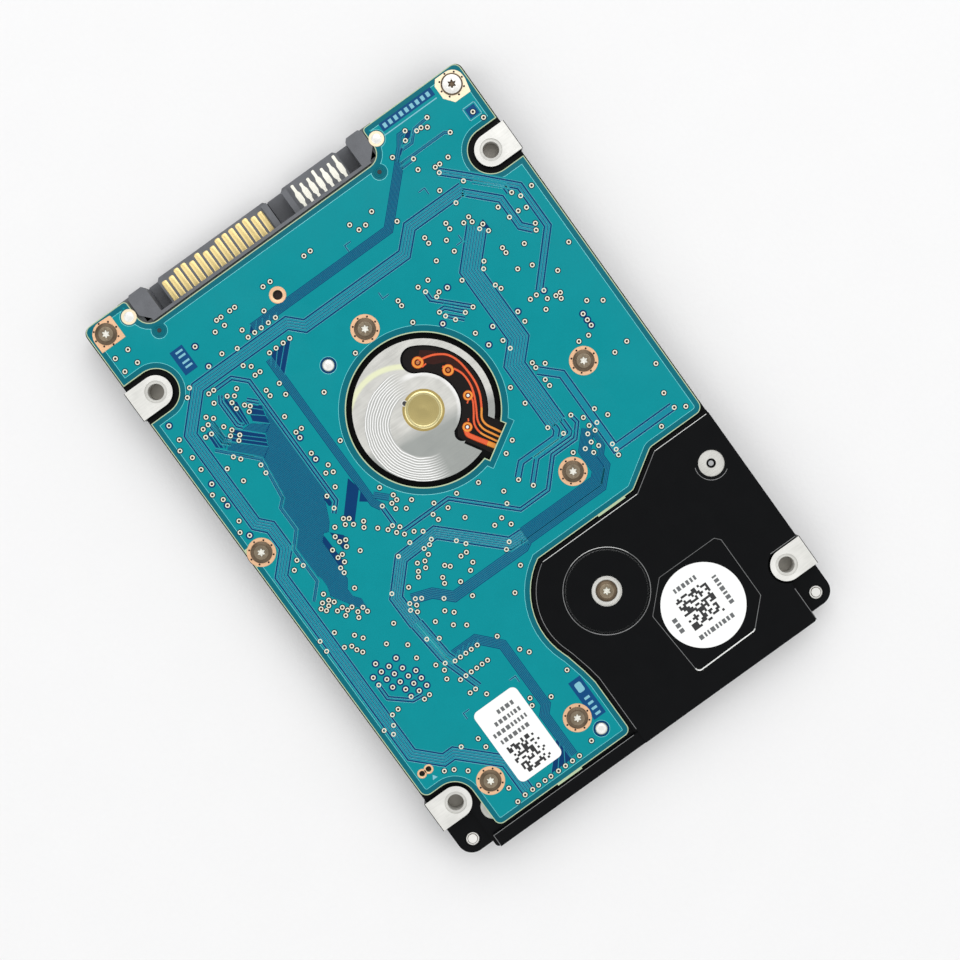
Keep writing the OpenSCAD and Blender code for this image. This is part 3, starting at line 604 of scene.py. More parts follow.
def make_stage():
    data = bpy.data.cameras.new("camera")
    data.sensor_width = 36
    data.lens = 65.62
    data.clip_start = 0.01
    camera = bpy.data.objects.new("camera", data)
    camera.location = Vector((3.19, 10.2, 269.7)) * MM
    camera.rotation_euler = [math.radians(a) for a in (-2.636, -1.239, -35.762)]
    bpy.context.scene.collection.objects.link(camera)
    bpy.context.scene.camera = camera

    mesh = bpy.data.meshes.new("floor")
    side = 1.5
    corners = [(-side, -side, 0), (side, -side, 0), (side, side, 0), (-side, side, 0)]
    mesh.from_pydata(corners, [], [(0, 1, 2, 3)])
    mesh.materials.append(material("floor"))
    floor = bpy.data.objects.new("floor", mesh)
    floor.location.z = -0.00002
    bpy.context.scene.collection.objects.link(floor)

    # Softboxes: place in metres, width, power
    boxes = {
        "key": ((0.34, 0.48, 0.74), 0.9, 4.0),
        "left": ((-0.6, 0.1, 0.65), 0.7, 1.3),
        "right": ((0.55, -0.35, 0.7), 0.7, 1.1),
        "near": ((-0.2, -0.6, 0.7), 0.7, 1.1),
    }
    for name, (spot, width, power) in boxes.items():
        light = bpy.data.lights.new(name, "AREA")
        light.size = width
        light.energy = power
        lamp = bpy.data.objects.new(name, light)
        lamp.location = spot
        lamp.rotation_euler = (-Vector(spot)).to_track_quat("-Z", "Y").to_euler()
        bpy.context.scene.collection.objects.link(lamp)
    world = bpy.data.worlds.new("studio")
    world.use_nodes = True
    world.node_tree.nodes["Background"].inputs["Color"].default_value = (1.0, 1.0, 0.99, 1.0)
    world.node_tree.nodes["Background"].inputs["Strength"].default_value = 0.62
    bpy.context.scene.world = world
    bpy.context.scene.view_settings.view_transform = "Standard"


# ---- circuit board ----

SCREWS = [(-31.8, 47.4), (31.8, 47.4), (0, 25.5), (-32.3, 7.45), (23.85, 2.5), (12.85, -10.1),
          (-24.65, -40.95), (-8.4, -40.9)]
PINS = [(-7.65, 24.3), (-6.4, -44.4)]
POSTS = [(-27.55, 47.5), (17.95, 47.4)]
PEGS = [(-25.05, 43.25), (15.45, 43.15)]
PLATED_HOLES = [((-7.63, 37.22), 0.75, 1.3), ((-32.45, -34.0), 0.45, 0.75), ((-31.24, -34.0), 0.45, 0.75)]
MOTOR_HOLE = 11.65
FLEX_WAY = -59


def board_outline():
    left, right = (-30.86, 36.1), (30.86, 36.1)
    return outline(
        (-27.75, -47.4, 1.1), (-2.95, -47.4, 1.1), (-2.95, -38), (-3.3, -35.8), (-4.05, -32.6),
        arc(PIVOT, 11.5, 200, 119), (18.6, -17.73, 1.5), (24.4, -14, 1.5), (34.35, -14, 1.3),
        (34.35, 32.65), arc(right, 3.45, -90, -270), (34.35, 39.55), (34.35, 49.8, 1.2), (17, 49.8, 0.6),
        (17, 44.63, 2.2), (-26.6, 44.63, 2.2), (-26.6, 49.8, 0.6), (-34.35, 49.8, 1.2), (-34.35, 39.55),
        arc(left, 3.45, 90, -90), (-34.35, 32.65), (-34.35, -37.3, 1.2), arc((-31.2, -40.75), 3.45, 90, 0),
    )


def motor_opening(radius, reach, half_width):
    spread = math.degrees(math.asin(half_width / radius))
    around = arc(SPINDLE, radius, FLEX_WAY + spread, FLEX_WAY - spread + 360, 3)
    along = Vector(polar((0, 0), 1, FLEX_WAY))
    across = Vector((-along.y, along.x))
    corners = [Vector(SPINDLE) + along * reach + across * s * half_width for s in (-1, 1)]
    return (around + [tuple(c) for c in corners])[::-1]


def within(point, loop):
    x, y = point
    inside = False
    for (x0, y0), (x1, y1) in zip(loop, loop[1:] + loop[:1]):
        if (y0 > y) != (y1 > y) and x < x0 + (y - y0) / (y1 - y0) * (x1 - x0):
            inside = not inside
    return inside


def trace_section(width):
    """Low rounded ridge of copper under the mask, whose sloping sides catch the light; TRACE_FINISH also paints
    them lighter as highlights.
    """
    half = width / 2
    slope = min(0.05, half * 0.5)
    rise = TRACE_TOP - GAP_TOP
    return [(-half, 0), (slope - half, rise), (half - slope, rise), (half, 0)]


# Both slopes of each trace are painted lighter as highlights
TRACE_FINISH = ("trace_slope_highlight", "mask_trace", "trace_slope_highlight")
DENSE_FINISH = ("mask_trace", "mask_deep", "mask_deep")


def hatch(shape, area, heading, pitch=0.19, width=0.13):
    """Area filled with fine parallel traces that run at a heading in degrees."""
    shape.fill([area], GAP_TOP, "gap")
    along, across = polar((0, 0), 1, heading), polar((0, 0), 1, heading + 90)
    spots = [(x * along[0] + y * along[1], x * across[0] + y * across[1]) for x, y in area]
    start, end = min(t for t, _ in spots), max(t for t, _ in spots)
    s, last = min(s for _, s in spots) + pitch / 2, max(s for _, s in spots)
    step = 0.12
    while s < last:
        run = []
        for k in range(int((end - start) / step) + 2):
            t = start + k * step
            spot = (along[0] * t + across[0] * s, along[1] * t + across[1] * s)
            if within(spot, area):
                run.append(spot)
            elif run:
                if len(run) > 2:
                    shape.ridge([run[0], run[-1]], GAP_TOP, trace_section(width), DENSE_FINISH)
                run = []
        s += pitch


def fan(shape, starts, ends, width=0.12):
    """Bare wedge crossed by traces that join one row of points to another."""
    shape.fill([starts + ends[::-1]], GAP_TOP + 0.001, "gap")
    for a, b in zip(starts, ends):
        shape.ridge([a, b], GAP_TOP + 0.001, trace_section(width), TRACE_FINISH)


def bus(shape, line, count, pitch, gap, edge):
    """Parallel traces with bare gaps between and beside them, along a centre line."""
    dense = pitch <= 0.3
    rim = count * pitch / 2 - gap / 2 + edge
    left, right = shifted(line, rim, False), shifted(line, -rim, False)
    for i in range(len(line) - 1):
        shape.face([(*p, GAP_TOP) for p in (left[i], right[i], right[i + 1], left[i + 1])], "gap")
    for k in range(count):
        track = shifted(line, (k - (count - 1) / 2) * pitch, False)
        shape.ridge(track, GAP_TOP, trace_section(pitch - gap), DENSE_FINISH if dense else TRACE_FINISH)
    if dense and count > 1:
        return
    rise = TRACE_TOP - GAP_TOP
    # The lips' inner slopes are painted lighter as highlights
    lip = [(0, 0), (0.07, rise + 0.005), (0.24, 0.0)]
    shape.ridge(shifted(line, -rim, False), GAP_TOP, lip, ("trace_slope_highlight", "mask"))
    shape.ridge(shifted(line, rim, False), GAP_TOP, [(-s, h) for s, h in lip[::-1]], ("mask", "trace_slope_highlight"))


BUSES = [
    # long bus round the left side and across the front: centre line, traces, pitch
    ([(-21, -45.4), (-21, -39.95), (-26.75, -34.25), (-28.55, -34.25), (-32.05, -30.7), (-32.05, 2.7),
      (-28.93, 5.85), (-28.93, 9.7), (-30.5, 11.4), (-30.5, 27.9), (-25.45, 33.05), (-9, 33.05),
      (-7, 31.05), (11.3, 31.05), (14.3, 33.95), (24.1, 33.95)], 4, 0.42),
    ([(23.7, 33.55), (27.85, 29.35), (27.85, 24.4), (29.2, 22.9)], 2, 0.45),
    # dense bus under the connector
    ([(-13.6, 35.42), (11.5, 35.42), (18.9, 42.8)], 7, 0.19),
    ([(18.4, 42.9), (20, 44.45), (21, 45.85), (22, 45.85)], 2, 0.3),
    ([(18.7, 42.25), (26.7, 42.25), (27.3, 41.8)], 1, 0.3),
    ([(18.4, 41.65), (20.5, 41.7)], 1, 0.3),
    ([(20.2, 43.8), (21.9, 43.8), (23.4, 45.3), (25.8, 45.5)], 1, 0.3),
    # pair down the right edge
    ([(22.65, 38.05), (25.95, 34.8), (31.25, 29.3), (31.25, 22.05), (24.55, 14.9)], 2, 0.42),
    ([(25.9, 34.0), (29.3, 30.6), (29.3, 29.4)], 1, 0.35),
    # bus from the upper right down past the motor
    ([(22.5, 28.1), (17.9, 23.4), (17.9, 11), (15.05, 8.1), (15.05, -2.9)], 7, 0.41),
    ([(14.5, -2.7), (14.5, -3.6), (13.7, -4.4), (7.3, -4.4), (5.6, -6)], 1, 0.7),
    ([(16, -2.7), (16, -4.9), (15.6, -5.25), (9.6, -5.25), (6.9, -8)], 1, 0.5),
    ([(17.5, -3.1), (17.7, -4.4), (16, -6.3), (11.8, -6.3), (8.2, -10.15), (3.1, -10.15), (-4.8, -2.4),
      (-13.1, -2.4)], 1, 0.36),
    ([(17.35, 5.35), (20.05, 2.75), (20.05, -10.95), (30.7, -10.95)], 1, 1.0),
    ([(10.55, 24.8), (10.55, 23.3), (14.9, 18.95)], 1, 0.34),
    ([(10.5, 21.15), (11.5, 21.15), (13.7, 18.8)], 1, 0.34),
    ([(10.8, 20.2), (13, 18)], 1, 0.34),
    # band across the lower middle
    ([(1.2, -13.35), (14.9, -13.35), (16.1, -12.2), (16.1, -8.6), (18.4, -6.2)], 9, 0.2),
    ([(0.9, -14.75), (15.1, -14.75), (17.6, -12.3), (17.6, -10.6), (18.9, -9.2), (18.9, -7.4)], 4, 0.22),
    ([(-19.9, -15), (-19.95, -10), (-15.8, -5.6), (-9.4, -5.4), (-1.2, -13.4), (1.3, -13.5)], 5, 0.34),
    ([(-20.3, -14.9), (-19.7, -21.6), (-17.6, -28.2)], 2, 0.34),
    ([(-19.2, -14.9), (-18.7, -21.6), (-18.2, -23)], 2, 0.34),
    ([(-18.2, -11.5), (-15.1, -12.6), (-12.7, -15), (0.1, -15.05), (1, -14.6)], 6, 0.26),
    # beside the controller's field of traces
    ([(-23.4, 30.1), (-24, 29.2), (-24, 25), (-23.4, 24.3)], 1, 0.34),
    ([(-20.6, 27.25), (-19.3, 25.9)], 1, 0.34),
    ([(-27, 27.6), (-27, 24.4), (-26.1, 23.5)], 2, 0.36),
    ([(-23.4, 31.25), (-20.55, 31.25), (-18.62, 29.3), (-18.62, 7.2), (-20, 5.8)], 1, 0.36),
    ([(-28.9, 23.9), (-24.1, 18.8), (-24.95, 12.2), (-26.05, 11.2), (-26.05, 7.2), (-28.1, 5), (-28.1, -1),
      (-30.3, -3.2)], 1, 0.3),
    ([(-29.9, -19), (-29.9, -21.6), (-27, -24.1), (-25.3, -24.3)], 1, 0.34),
    # dense run left of the motor
    ([(-14.27, 30.2), (-14.27, 3.6), (-13.6, 2.4)], 5, 0.22),
    ([(-13.6, 4.6), (-11.9, 2.9)], 3, 0.3),
    ([(-13.6, 2.2), (-13.6, -0.9)], 1, 0.4),
    # right of the board label
    ([(-18, -22.1), (-13.9, -22.1), (-11.05, -25.2), (-11.05, -36.4), (-12.2, -37.6), (-12.2, -45.2)],
     6, 0.23),
    ([(-17.2, -22.9), (-16.6, -22.2)], 1, 0.3),
]

PATCHES = [
    # bare areas, drawn as outlines
    [(16.95, 12.1), (16.2, 11.2), (14.15, 9.2), (14.15, 8.2), (16.95, 10.9)],
    [(-15.2, 8.9), (-19.2, 4.5), (-18.35, 2.85), (-14.75, 6.7)],
    [(-14.55, 6.5), (-15.9, 5.05), (-14.4, 3.9)],
    [(20.6, 44.4), (22.1, 44.4), (23, 45.2), (22.2, 45.6), (21.3, 45.3)],
    [(-23.95, 3.7), (-23.2, 3.9), (-23.05, -1.2), (-24.1, -1.6)],
    [(-22.25, 3.9), (-20.75, 2.3), (-20.75, 1.2), (-21.3, 0.55), (-22.1, 0.55)],
    [(-20, 8.8), (-19.3, 8.8), (-19.3, 6.7), (-20, 7.2)],
    [(22.3, 27.9), (23.9, 28.5), (24.0, 27.0), (23.0, 26.6)],
]
PRINTED_PATCHES = [box_outline(-25.85, 35.5, -23.6, 39.6), box_outline(-6.5, -42.7, -4.35, -35.85),
                   box_outline(19.45, 47.6, 28.9, 48.95), box_outline(31.15, 41.6, 32.75, 43.2)]
# Fine parallel traces: outline, heading
FIELDS = [
    ([(-19.1, 25.5), (-19.1, 9.1), (-19.8, 8.8), (-20.2, 7.6), (-21.3, 5.2), (-22.3, 4), (-23, 4.3),
      (-24, 3.2), (-24.15, -3.4), (-25.1, -4.7), (-25, -6), (-24.2, -7), (-24.4, -9.2), (-25.7, -7.4), (-27.8, -4),
      (-27.3, -2.5), (-27.3, -1.1), (-27.6, -0.3), (-27.75, 5.1), (-25.75, 7.2), (-25.8, 9), (-25.7, 11.5),
      (-24.7, 12.5), (-23.75, 18.6), (-22.1, 19.6), (-21.2, 21.6), (-19.9, 22.3)], 90),
    ([(-22.1, 19.6), (-23.75, 18.6), (-27.5, 22.7), (-26.6, 23.7)], 135),
    ([(-21.2, 21.6), (-23.7, 24), (-22.25, 24.1), (-19.9, 22.3)], 135),
    ([(-27.5, 23.2), (-27.2, 27.7), (-26.35, 27.7), (-26.45, 23.8)], 92),
]
# Bare wedges crossed by traces: a point on each side for every trace
FANS = [
    ([(-19.2, 25.3), (-19.5, 24.6), (-19.7, 23.7), (-19.85, 22.35)],
     [(-20.6, 26.7), (-21, 26.1), (-21.5, 25.2), (-21.75, 24.1)]),
    ([(-21.4, 21.5), (-21.6, 20.9), (-21.9, 20.3), (-22.1, 19.7)],
     [(-24.7, 24.8), (-25.2, 24.2), (-25.7, 23.9), (-26.3, 23.7)]),
    ([(-28.6, 24.2), (-28.1, 23.8), (-27.6, 23.4)], [(-28.5, 26.6), (-28, 26.8), (-27.5, 26.6)]),
    ([(-23.5, 29.6), (-22.9, 28.9), (-22.4, 28.4), (-21.9, 27.8)],
     [(-23.4, 24.5), (-22.95, 24.3), (-22.6, 24.2), (-22.3, 24.1)]),
    ([(-14.55, 34.95), (-13.35, 34.95), (-12.15, 34.95), (-10.85, 34.95), (-9.55, 34.95)],
     [(-13.5, 36.05), (-12.45, 35.95), (-11.5, 35.75), (-10.35, 35.5), (-9.3, 35.2)]),
    ([(-13.5, 30.8), (-12.3, 30.8), (-11, 30.8), (-9.8, 30.8)],
     [(-14.6, 29.3), (-14.3, 28.6), (-14, 27.9), (-13.75, 27)]),
    ([(-18.1, -22.7), (-17.1, -22.7), (-16.1, -22.7), (-15.1, -22.7), (-14.1, -22.7)],
     [(-16.9, -21.8), (-15.9, -21.85), (-14.9, -21.95), (-14.1, -22.1), (-13.5, -22.3)]),
    ([(-16.6, -45.5), (-15.3, -45.5), (-14, -45.5), (-12.7, -45.5)],
     [(-12.9, -41.6), (-12.7, -42.4), (-12.6, -43.2), (-12.5, -44)]),
    ([(21.4, 44.6), (22.3, 45.8), (23.5, 45)], [(19.3, 43.1), (19.8, 44), (20.6, 44.2)]),
]
CORNER_MARKS = [(4.8, 37.3, 1, -1), (19.5, 37.3, -1, -1), (4.8, 27.6, 1, 1), (19.5, 27.6, -1, 1),
                (-22, -30.2, 1, -1), (-12.3, -30.2, -1, -1)]


def on_board(x, y):
    """Place of a small hole, whose plan is very slightly turned and stretched against the drive."""
    return (1.0067 * x - 0.0033 * y - 0.09, 0.9975 * y - 0.03)


# Rows of small plated holes, from the connector end down: the row's y, then the x of each hole
HOLES = [
    (46, 22.2), (45.7, 26), (45, 23.6, 24.4), (44.8, 21.4), (44.5, 25.2), (43.9, 18.4),
    (43.8, -32.4, -30.1), (42.4, 32), (41.9, 20.8, 27.5), (41.4, -32.4, -30.1), (40.8, 32.8), (40.2, 20.4),
    (39.8, 0.4), (39.75, -0.8), (39.6, -16.9, -16.1, -14.5, -13.6, -8.4, -7.1), (39.5, 7.4), (39.2, 11.2),
    (39.1, 25.1), (39, 22.7, 23.5), (38.3, -18.1, -16.4), (38.1, 8.1, 9.3), (38, 22.7), (36.6, -10.4),
    (36.2, -14.7), (35.8, 13.4, 21.2), (35.1, -19.2), (34.9, 24.9),
    (34.8, -14.6, -13.4, -12.2, -10.9, -9.6), (34.4, -16.9), (33.8, -26.1), (32.9, 22.1), (32.8, -27.2),
    (31.8, -17.7), (31.4, -24.3, -23.4, 15.3), (31.3, 19.1), (31.05, -13.4, -12.2, -10.9, -9.7),
    (31, -16.8), (30.4, 15.3), (30.3, 19.1), (30.1, 22.4), (29.8, -24.5, 21.3), (29.6, -20.5, -17.1, -16.2),
    (29.5, -22.3), (29.3, 29.7), (29.2, 17.7, 22.4), (28.9, -21.4), (28.8, -26.7), (28.7, 26.8),
    (28.4, -31.9, 32.7), (28.3, -22.3), (28.1, 30.5), (28, -25.9, 23.5), (27.7, -27.1, 22.7),
    (27.6, -28.1, 14.7), (27.2, -22.3, 17.7), (27, -32.8), (26.9, -21), (26.8, -17.1), (26.7, 23.6),
    (26.5, -14.9, 27.3, 28.9), (26.4, -28.5), (26.3, -27.5, -20.4), (26.2, 30.2), (26.1, -25.4, 6.6),
    (26, 10.2, 12), (25.8, -17.1), (25.7, -21), (25.2, 6.6), (25.1, -31.9), (25, -24.7), (24.8, 10.7),
    (24.6, -15.1), (24.4, -25.4), (23.7, -24.2), (23.6, 12.3), (23.5, -3.1, 29.9), (23.4, 20.4, 23.8),
    (23.2, 11.6), (23.1, -24.8), (23, 16.1), (22.9, -31.9), (22.6, 29.4), (22.5, 19.7, 23.8), (22.2, 6.5),
    (22, -17.2, 26.8), (21.6, -26.9), (21.5, -10.3), (21.1, 10.6), (20.7, -28.7, -26.2), (20.1, 11),
    (19.5, 19.7, 23.8), (19.1, -17.2, -16.2), (18.8, -32.8, 11.9, 13.7, 15.1), (18.7, 25.9), (18.6, 20.1),
    (18.3, 32.3), (18.2, -24.3), (17.8, -27.8), (17.3, -31.9), (16.8, -24.4), (15.8, 28.5), (15.4, 13.1),
    (15.2, -17.2), (14.7, 22.7, 23.8), (14.2, -12.6), (13.3, -31.9, 24.8), (12.9, 26.1, 26.9), (12.5, 20.1),
    (12.3, -16.2), (12.1, 15.8, 23.7, 26.5), (11.8, -32.8), (11.5, -17.2), (11, -16.2), (10.5, 16),
    (9.6, 29.4), (9, -17.3), (8.6, -19.1), (8.2, 31.4), (6.8, 17.4), (6.5, -19.3), (5.9, 17.4), (5.7, 12.6),
    (5.6, 18.9), (5.3, 24.9), (5.2, 26.6), (5, -12), (4.4, -19.1), (4.1, -20.9), (3.9, -18.4), (3.6, 17.5),
    (3.5, -19.4), (3.4, -28.4), (2.9, -21.7, -11), (2.8, -18.4), (2.5, -13.3, 13, 17.5), (2.4, -29.6),
    (2.3, -16.9), (2.2, -28.1), (2, -11.9, -11), (1.9, -21.6), (1.6, -20.7), (1.5, -23.2, -17.4),
    (1.1, 30.7), (1, -11.9), (0.8, 28.3), (0.7, -21.2, -9.2), (0.2, -15.8), (0.1, -23.2, -22.4, -10.6),
    (-0.8, -13.8), (-0.9, -14.7, 8.2), (-1, -22.8, -19.9), (-1.4, -23.8), (-1.6, -13), (-1.7, -6.8),
    (-2, -13.9, 6.3), (-2.3, -23.8), (-2.5, -3.2, 13.6), (-2.9, -13.1), (-3, -7.9, 17.5),
    (-3.1, -28.2, 0.4), (-3.4, -11.7), (-3.5, -5.5), (-4.1, -29.1, -7.7), (-4.2, -10.6, 32.3),
    (-4.3, -28.1, 20.9), (-4.4, -13.2, 18.8), (-4.6, 15), (-4.7, -29.8), (-5, -28.6, -27.6),
    (-5.1, -23.9, -15.8), (-5.4, -29.3), (-5.9, -10.3, 18.8), (-6.2, -4.3, 20, 22), (-6.3, 5.5),
    (-6.4, -28, -27.1, -12, -11, 2.7), (-6.8, 17.9), (-7, 19.1), (-7.2, -26.7, -25.9), (-7.5, -12),
    (-7.6, -14.1), (-7.7, -27.4), (-7.8, 14.5), (-8, -13), (-8.1, 17.6), (-8.2, -24.6, 2),
    (-8.3, -25.6, -7.4, 6.8), (-8.4, 16.3), (-8.5, 30.7), (-8.6, -32.8), (-8.7, -14.7), (-8.8, -30.3),
    (-8.9, -13.5), (-9.1, -26, -24.4, -19.9), (-9.2, 18.2), (-9.4, -15.2), (-9.5, -6.5, 0.1), (-9.6, 17),
    (-9.8, -17.3, -1.4), (-10.2, 20), (-10.3, -11), (-10.4, -32.9), (-10.6, -8.2, -7.2),
    (-10.9, -28.1, -10.4), (-11.1, 0.7), (-11.2, 20, 30.7), (-11.5, -30.4), (-11.6, -12.3), (-11.8, -17.5),
    (-11.9, -18.6), (-12, -29.4, -27.3), (-12.1, 19.8, 32.2), (-12.3, -16.7), (-12.4, -7.3, 27.5),
    (-12.5, -12.6), (-12.7, -17.9), (-12.8, -19.1), (-12.9, -29.1, -22.3), (-13.1, -1.1), (-13.2, -8.3),
    (-13.6, -18.4), (-13.7, -28.6, -10.5), (-13.8, -2.1), (-14.3, -14), (-14.8, -25), (-15.9, -15),
    (-16.4, -17.1), (-16.5, -10.3), (-16.8, -22.5), (-16.9, -14), (-17, -1.8), (-17.8, -19.7),
    (-18.4, -15.2), (-18.8, -18.1), (-19.2, -22.6), (-19.6, -13.6), (-19.9, -4.9), (-21.8, -20.9),
    (-22.4, -19.6), (-23, -18.2, -17.2, -16.2, -15.2, -14.1), (-23.2, -20.3), (-23.7, -10.9),
    (-23.9, -29.4), (-24.1, -30.6), (-24.5, -20.8), (-24.9, -24.3), (-25, -25.3), (-25.3, -33),
    (-25.5, -31.4), (-25.8, -19.2, -18.2, -17.2, -16.2, -15.2, -14.2), (-26.6, -32.2), (-27.3, -9.3),
    (-28.3, -19.2, -18.2), (-28.5, -8.4), (-29.9, -17.3), (-34.1, -5.4), (-34.2, -25.1), (-34.3, -12.4),
    (-34.7, -22.3), (-35.4, -12.8), (-35.7, -29.3), (-36, -9.7), (-36.4, -28, -22.1), (-37.8, -26.4),
    (-43.6, -23), (-45.1, -8.7), (-45.9, -21.6, -20.2, -19.1, -17.9, -16.8, -15.4, -14.1, -12.8, -11.5),
    (-46.1, -23.1),
]
# Small holes that stand in a wider clearing of the copper
CLEARED_HOLES = [
    (38.3, -21.8), (34.7, -21.9), (31, -31.9), (23.4, 13.7), (20.2, -31.9), (19.4, 10), (18.1, -17.2),
    (16.2, -31.9), (14.7, 15.8), (14.6, 25.1), (14.3, 20.1), (14.1, -17.2), (12.8, 13.7), (10.6, -31.9),
    (8.3, 27.8), (7.2, 27.8), (6.2, 27.8), (-16.3, -28.1), (-17.4, -25.1), (-17.8, -29.6, -28.1, -26.7),
    (-19.2, -29.6, -28.1, -26.7, -25.2), (-20.7, -28.1, -26.7, -25.2, -23.8), (-22.1, -26.7, -25.2, -23.8),
    (-23.5, -26.7, -25.2, -23.8),
]


def make_board():
    edge = board_outline()
    round_holes = [(p, 0.85) for p in SCREWS] + [(p, 0.95) for p in PINS] + [(p, 0.65) for p in POSTS]
    round_holes += [(p, 0.6) for p in PEGS] + [(p, r) for p, r, _ in PLATED_HOLES]
    holes = [circle(p, r, 24)[::-1] for p, r in round_holes]

    core = Shape()
    loops = [edge, motor_opening(MOTOR_HOLE, 12.1, 3.0)] + holes
    core.plate(loops, BOARD_LOW, CORE_TOP, "laminate", floor=True)
    core.done("board_core", replaces=["circuit_board"])

    # A bare band runs along every edge, and the copper pour under the mask stands a little higher
    mask = Shape()
    loops = [shifted(edge, 0.13, True), motor_opening(MOTOR_HOLE + 0.16, 12.26, 3.14)] + holes
    mask.plate(loops, CORE_TOP, BAND_TOP, "mask_bare", slope=0.04)
    pour = shifted(edge, 0.9, True)
    for spots, radius in ((PEGS, 1.2), (POSTS, 1.35)):
        for spot in spots:
            pour = bitten(pour, spot, radius)
    clearings = [circle(p, 1.25, 32)[::-1] for p in PINS]
    rest = [circle(p, r, 24)[::-1] for p, r in round_holes if p not in PEGS + PINS + POSTS]
    loops = [pour, motor_opening(12.72, 13.1, 3.9)] + clearings + rest
    # The pour's sloping sides are lighter: thinner mask over the copper's edge, and a painted highlight
    mask.plate(loops, BAND_TOP, POUR_TOP, "mask", side="thin_mask_and_highlight", slope=0.07)
    mask.done("board_mask")

    copper = Shape()
    for area, heading in FIELDS:
        hatch(copper, area, heading)
    for line, count, pitch in BUSES:
        bus(copper, line, count, pitch, *((0.1, 0.23) if pitch > 0.3 else (0.07, 0.1)))
    for starts, ends in FANS:
        fan(copper, starts, ends)
    for patches, finish in ((PATCHES, "gap"), (PRINTED_PATCHES, "patch")):
        for patch in patches:
            copper.fill([patch], GAP_TOP + 0.002, finish)
    for x, y, along, up in CORNER_MARKS:
        bus(copper, [(x, y + 1.1 * up), (x, y), (x + 1.1 * along, y)], 0, 0.0, 0.0, 0.07)
    copper.done("board_traces", weld=False)

    rings = Shape()
    z = GAP_TOP + 0.004
    rim = [(0.37, z), (0.35, TRACE_TOP + 0.012), (0.2, TRACE_TOP + 0.016), (0.17, z + 0.012),
           (0, z + 0.006)]
    for rows, clear, ground in ((HOLES, 0.5, "via_edge"), (CLEARED_HOLES, 0.6, "gap")):
        for centre in (on_board(x, y) for y, *places in rows for x in places):
            rings.dome(centre, [(clear, z), (0.36, z)], [ground], 20)
            rings.dome(centre, rim, ["via_ring", "via_ring", "via_hole"], 20)
    rings.done("board_small_holes")
    make_pads()
    make_board_print()


def make_pads():
    pads = Shape()
    z0, z1 = GAP_TOP, TRACE_TOP + 0.02
    # Painted glare: the top right screw's pad is painted pale
    glare_screw = SCREWS[1]
    corners = {
        SCREWS[0]: outline((-33.95, 45.4), (-29.65, 45.4), (-29.65, 49.35, 0.3), (-33.95, 49.6, 2.2)),
        glare_screw: outline((30.7, 44.9), (33.5, 44.9), (33.95, 47.0), (33.95, 49.45, 1.9), (30.2, 49.45),
                            (29.5, 48.6), (29.5, 46.4)),
    }
    for spot in SCREWS:
        loops = [corners.get(spot, circle(spot, 2.22, 56)), circle(spot, 0.86, 24)[::-1]]
        pads.plate(loops, z0, z1, "pad_pale" if spot == glare_screw else "pad", slope=0.03)
        for k in range(8):
            pads.dome(polar(spot, 1.86, 45 * k), [(0.16, z1 + 0.004), (0, z1 + 0.003)], ["via_hole"], 10)
    pads.plate([box_outline(-34.2, 6.0, -32.6, 9.2)], CORE_TOP, GAP_TOP - 0.004, "laminate")
    for spot, inner, outer in PLATED_HOLES:
        rim = [(outer, z0), (outer - 0.05, z1), (inner + 0.08, z1), (inner, z1 - 0.05), (inner, BOARD_LOW)]
        pads.dome(spot, rim, ["pad", "pad", "pad", "via_hole"], 40)
        pads.dome(spot, [(inner, BOARD_LOW + 0.05), (0, BOARD_LOW + 0.04)], ["via_hole"], 24)
    for spot in PEGS:
        pads.dome(spot, [(0.84, BAND_TOP), (0.8, z1), (0.62, z1), (0.6, CORE_TOP - 0.2)], ["mask_bare"], 32)
        peg = [(0.6, BOARD_TOP - 0.08), (0.34, BOARD_TOP - 0.07), (0.3, BOARD_TOP), (0, BOARD_TOP)]
        pads.dome(spot, peg, ["mask_bare", "connector_dark"], 32)
    for spot in PINS:
        pads.dome(spot, [(1.24, GAP_TOP), (1.0, GAP_TOP)], ["gap"], 32)
    for spot in POSTS:
        pads.dome(spot, [(1.18, z0), (1.12, z1), (0.66, z1)], ["pad_pale"], 36)
    # Stubs of laminate where the board was broken out of its panel
    for x0, x1, y in ((12, 17, -17.88), (-16.8, -12.3, -47.56)):
        stub = box_outline(x0, y - 0.1, x1, y + 0.3)
        pads.plate([stub], BOARD_LOW, CORE_TOP - 0.02, "laminate", floor=True)
    pads.fill([[(-31.7, -35.75), (-30.8, -35.75), (-31.25, -35.05)]], z1, "print")
    pads.done("board_pads")


def make_board_print():
    """Plain bars on the bare patches, and the pale lines beside two of them."""
    blocks = [(-25.15, 36.3 + 1.75 * row + up, 1.2, 0.32) for row in range(2) for up in (0, 0.75)]
    blocks += [(-5.85, -42.3 + 0.95 * k, 0.9, 0.4) for k in range(4)]
    blocks += [(19.9 + 0.98 * k, 47.9, 0.55, 0.75) for k in range(9)]
    blocks += [(19.2, 47.0, 9.6, 0.16)]
    blocks += [(30.85, y, 2.2, 0.1) for y in (41.3, 43.4)] + [(x, 41.3, 0.1, 2.2) for x in (30.85, 32.95)]
    marks = Shape()
    z = GAP_TOP + 0.006
    for x, y, width, height in blocks:
        marks.block(x, y, width, height, z, "print")
    marks.fill([box_outline(-5.95, -38.1, -4.85, -36.5, 0.3)], z, "print")
    marks.done("board_marks")


# ---- edges of the casting, painted lighter as sheen and highlights ----


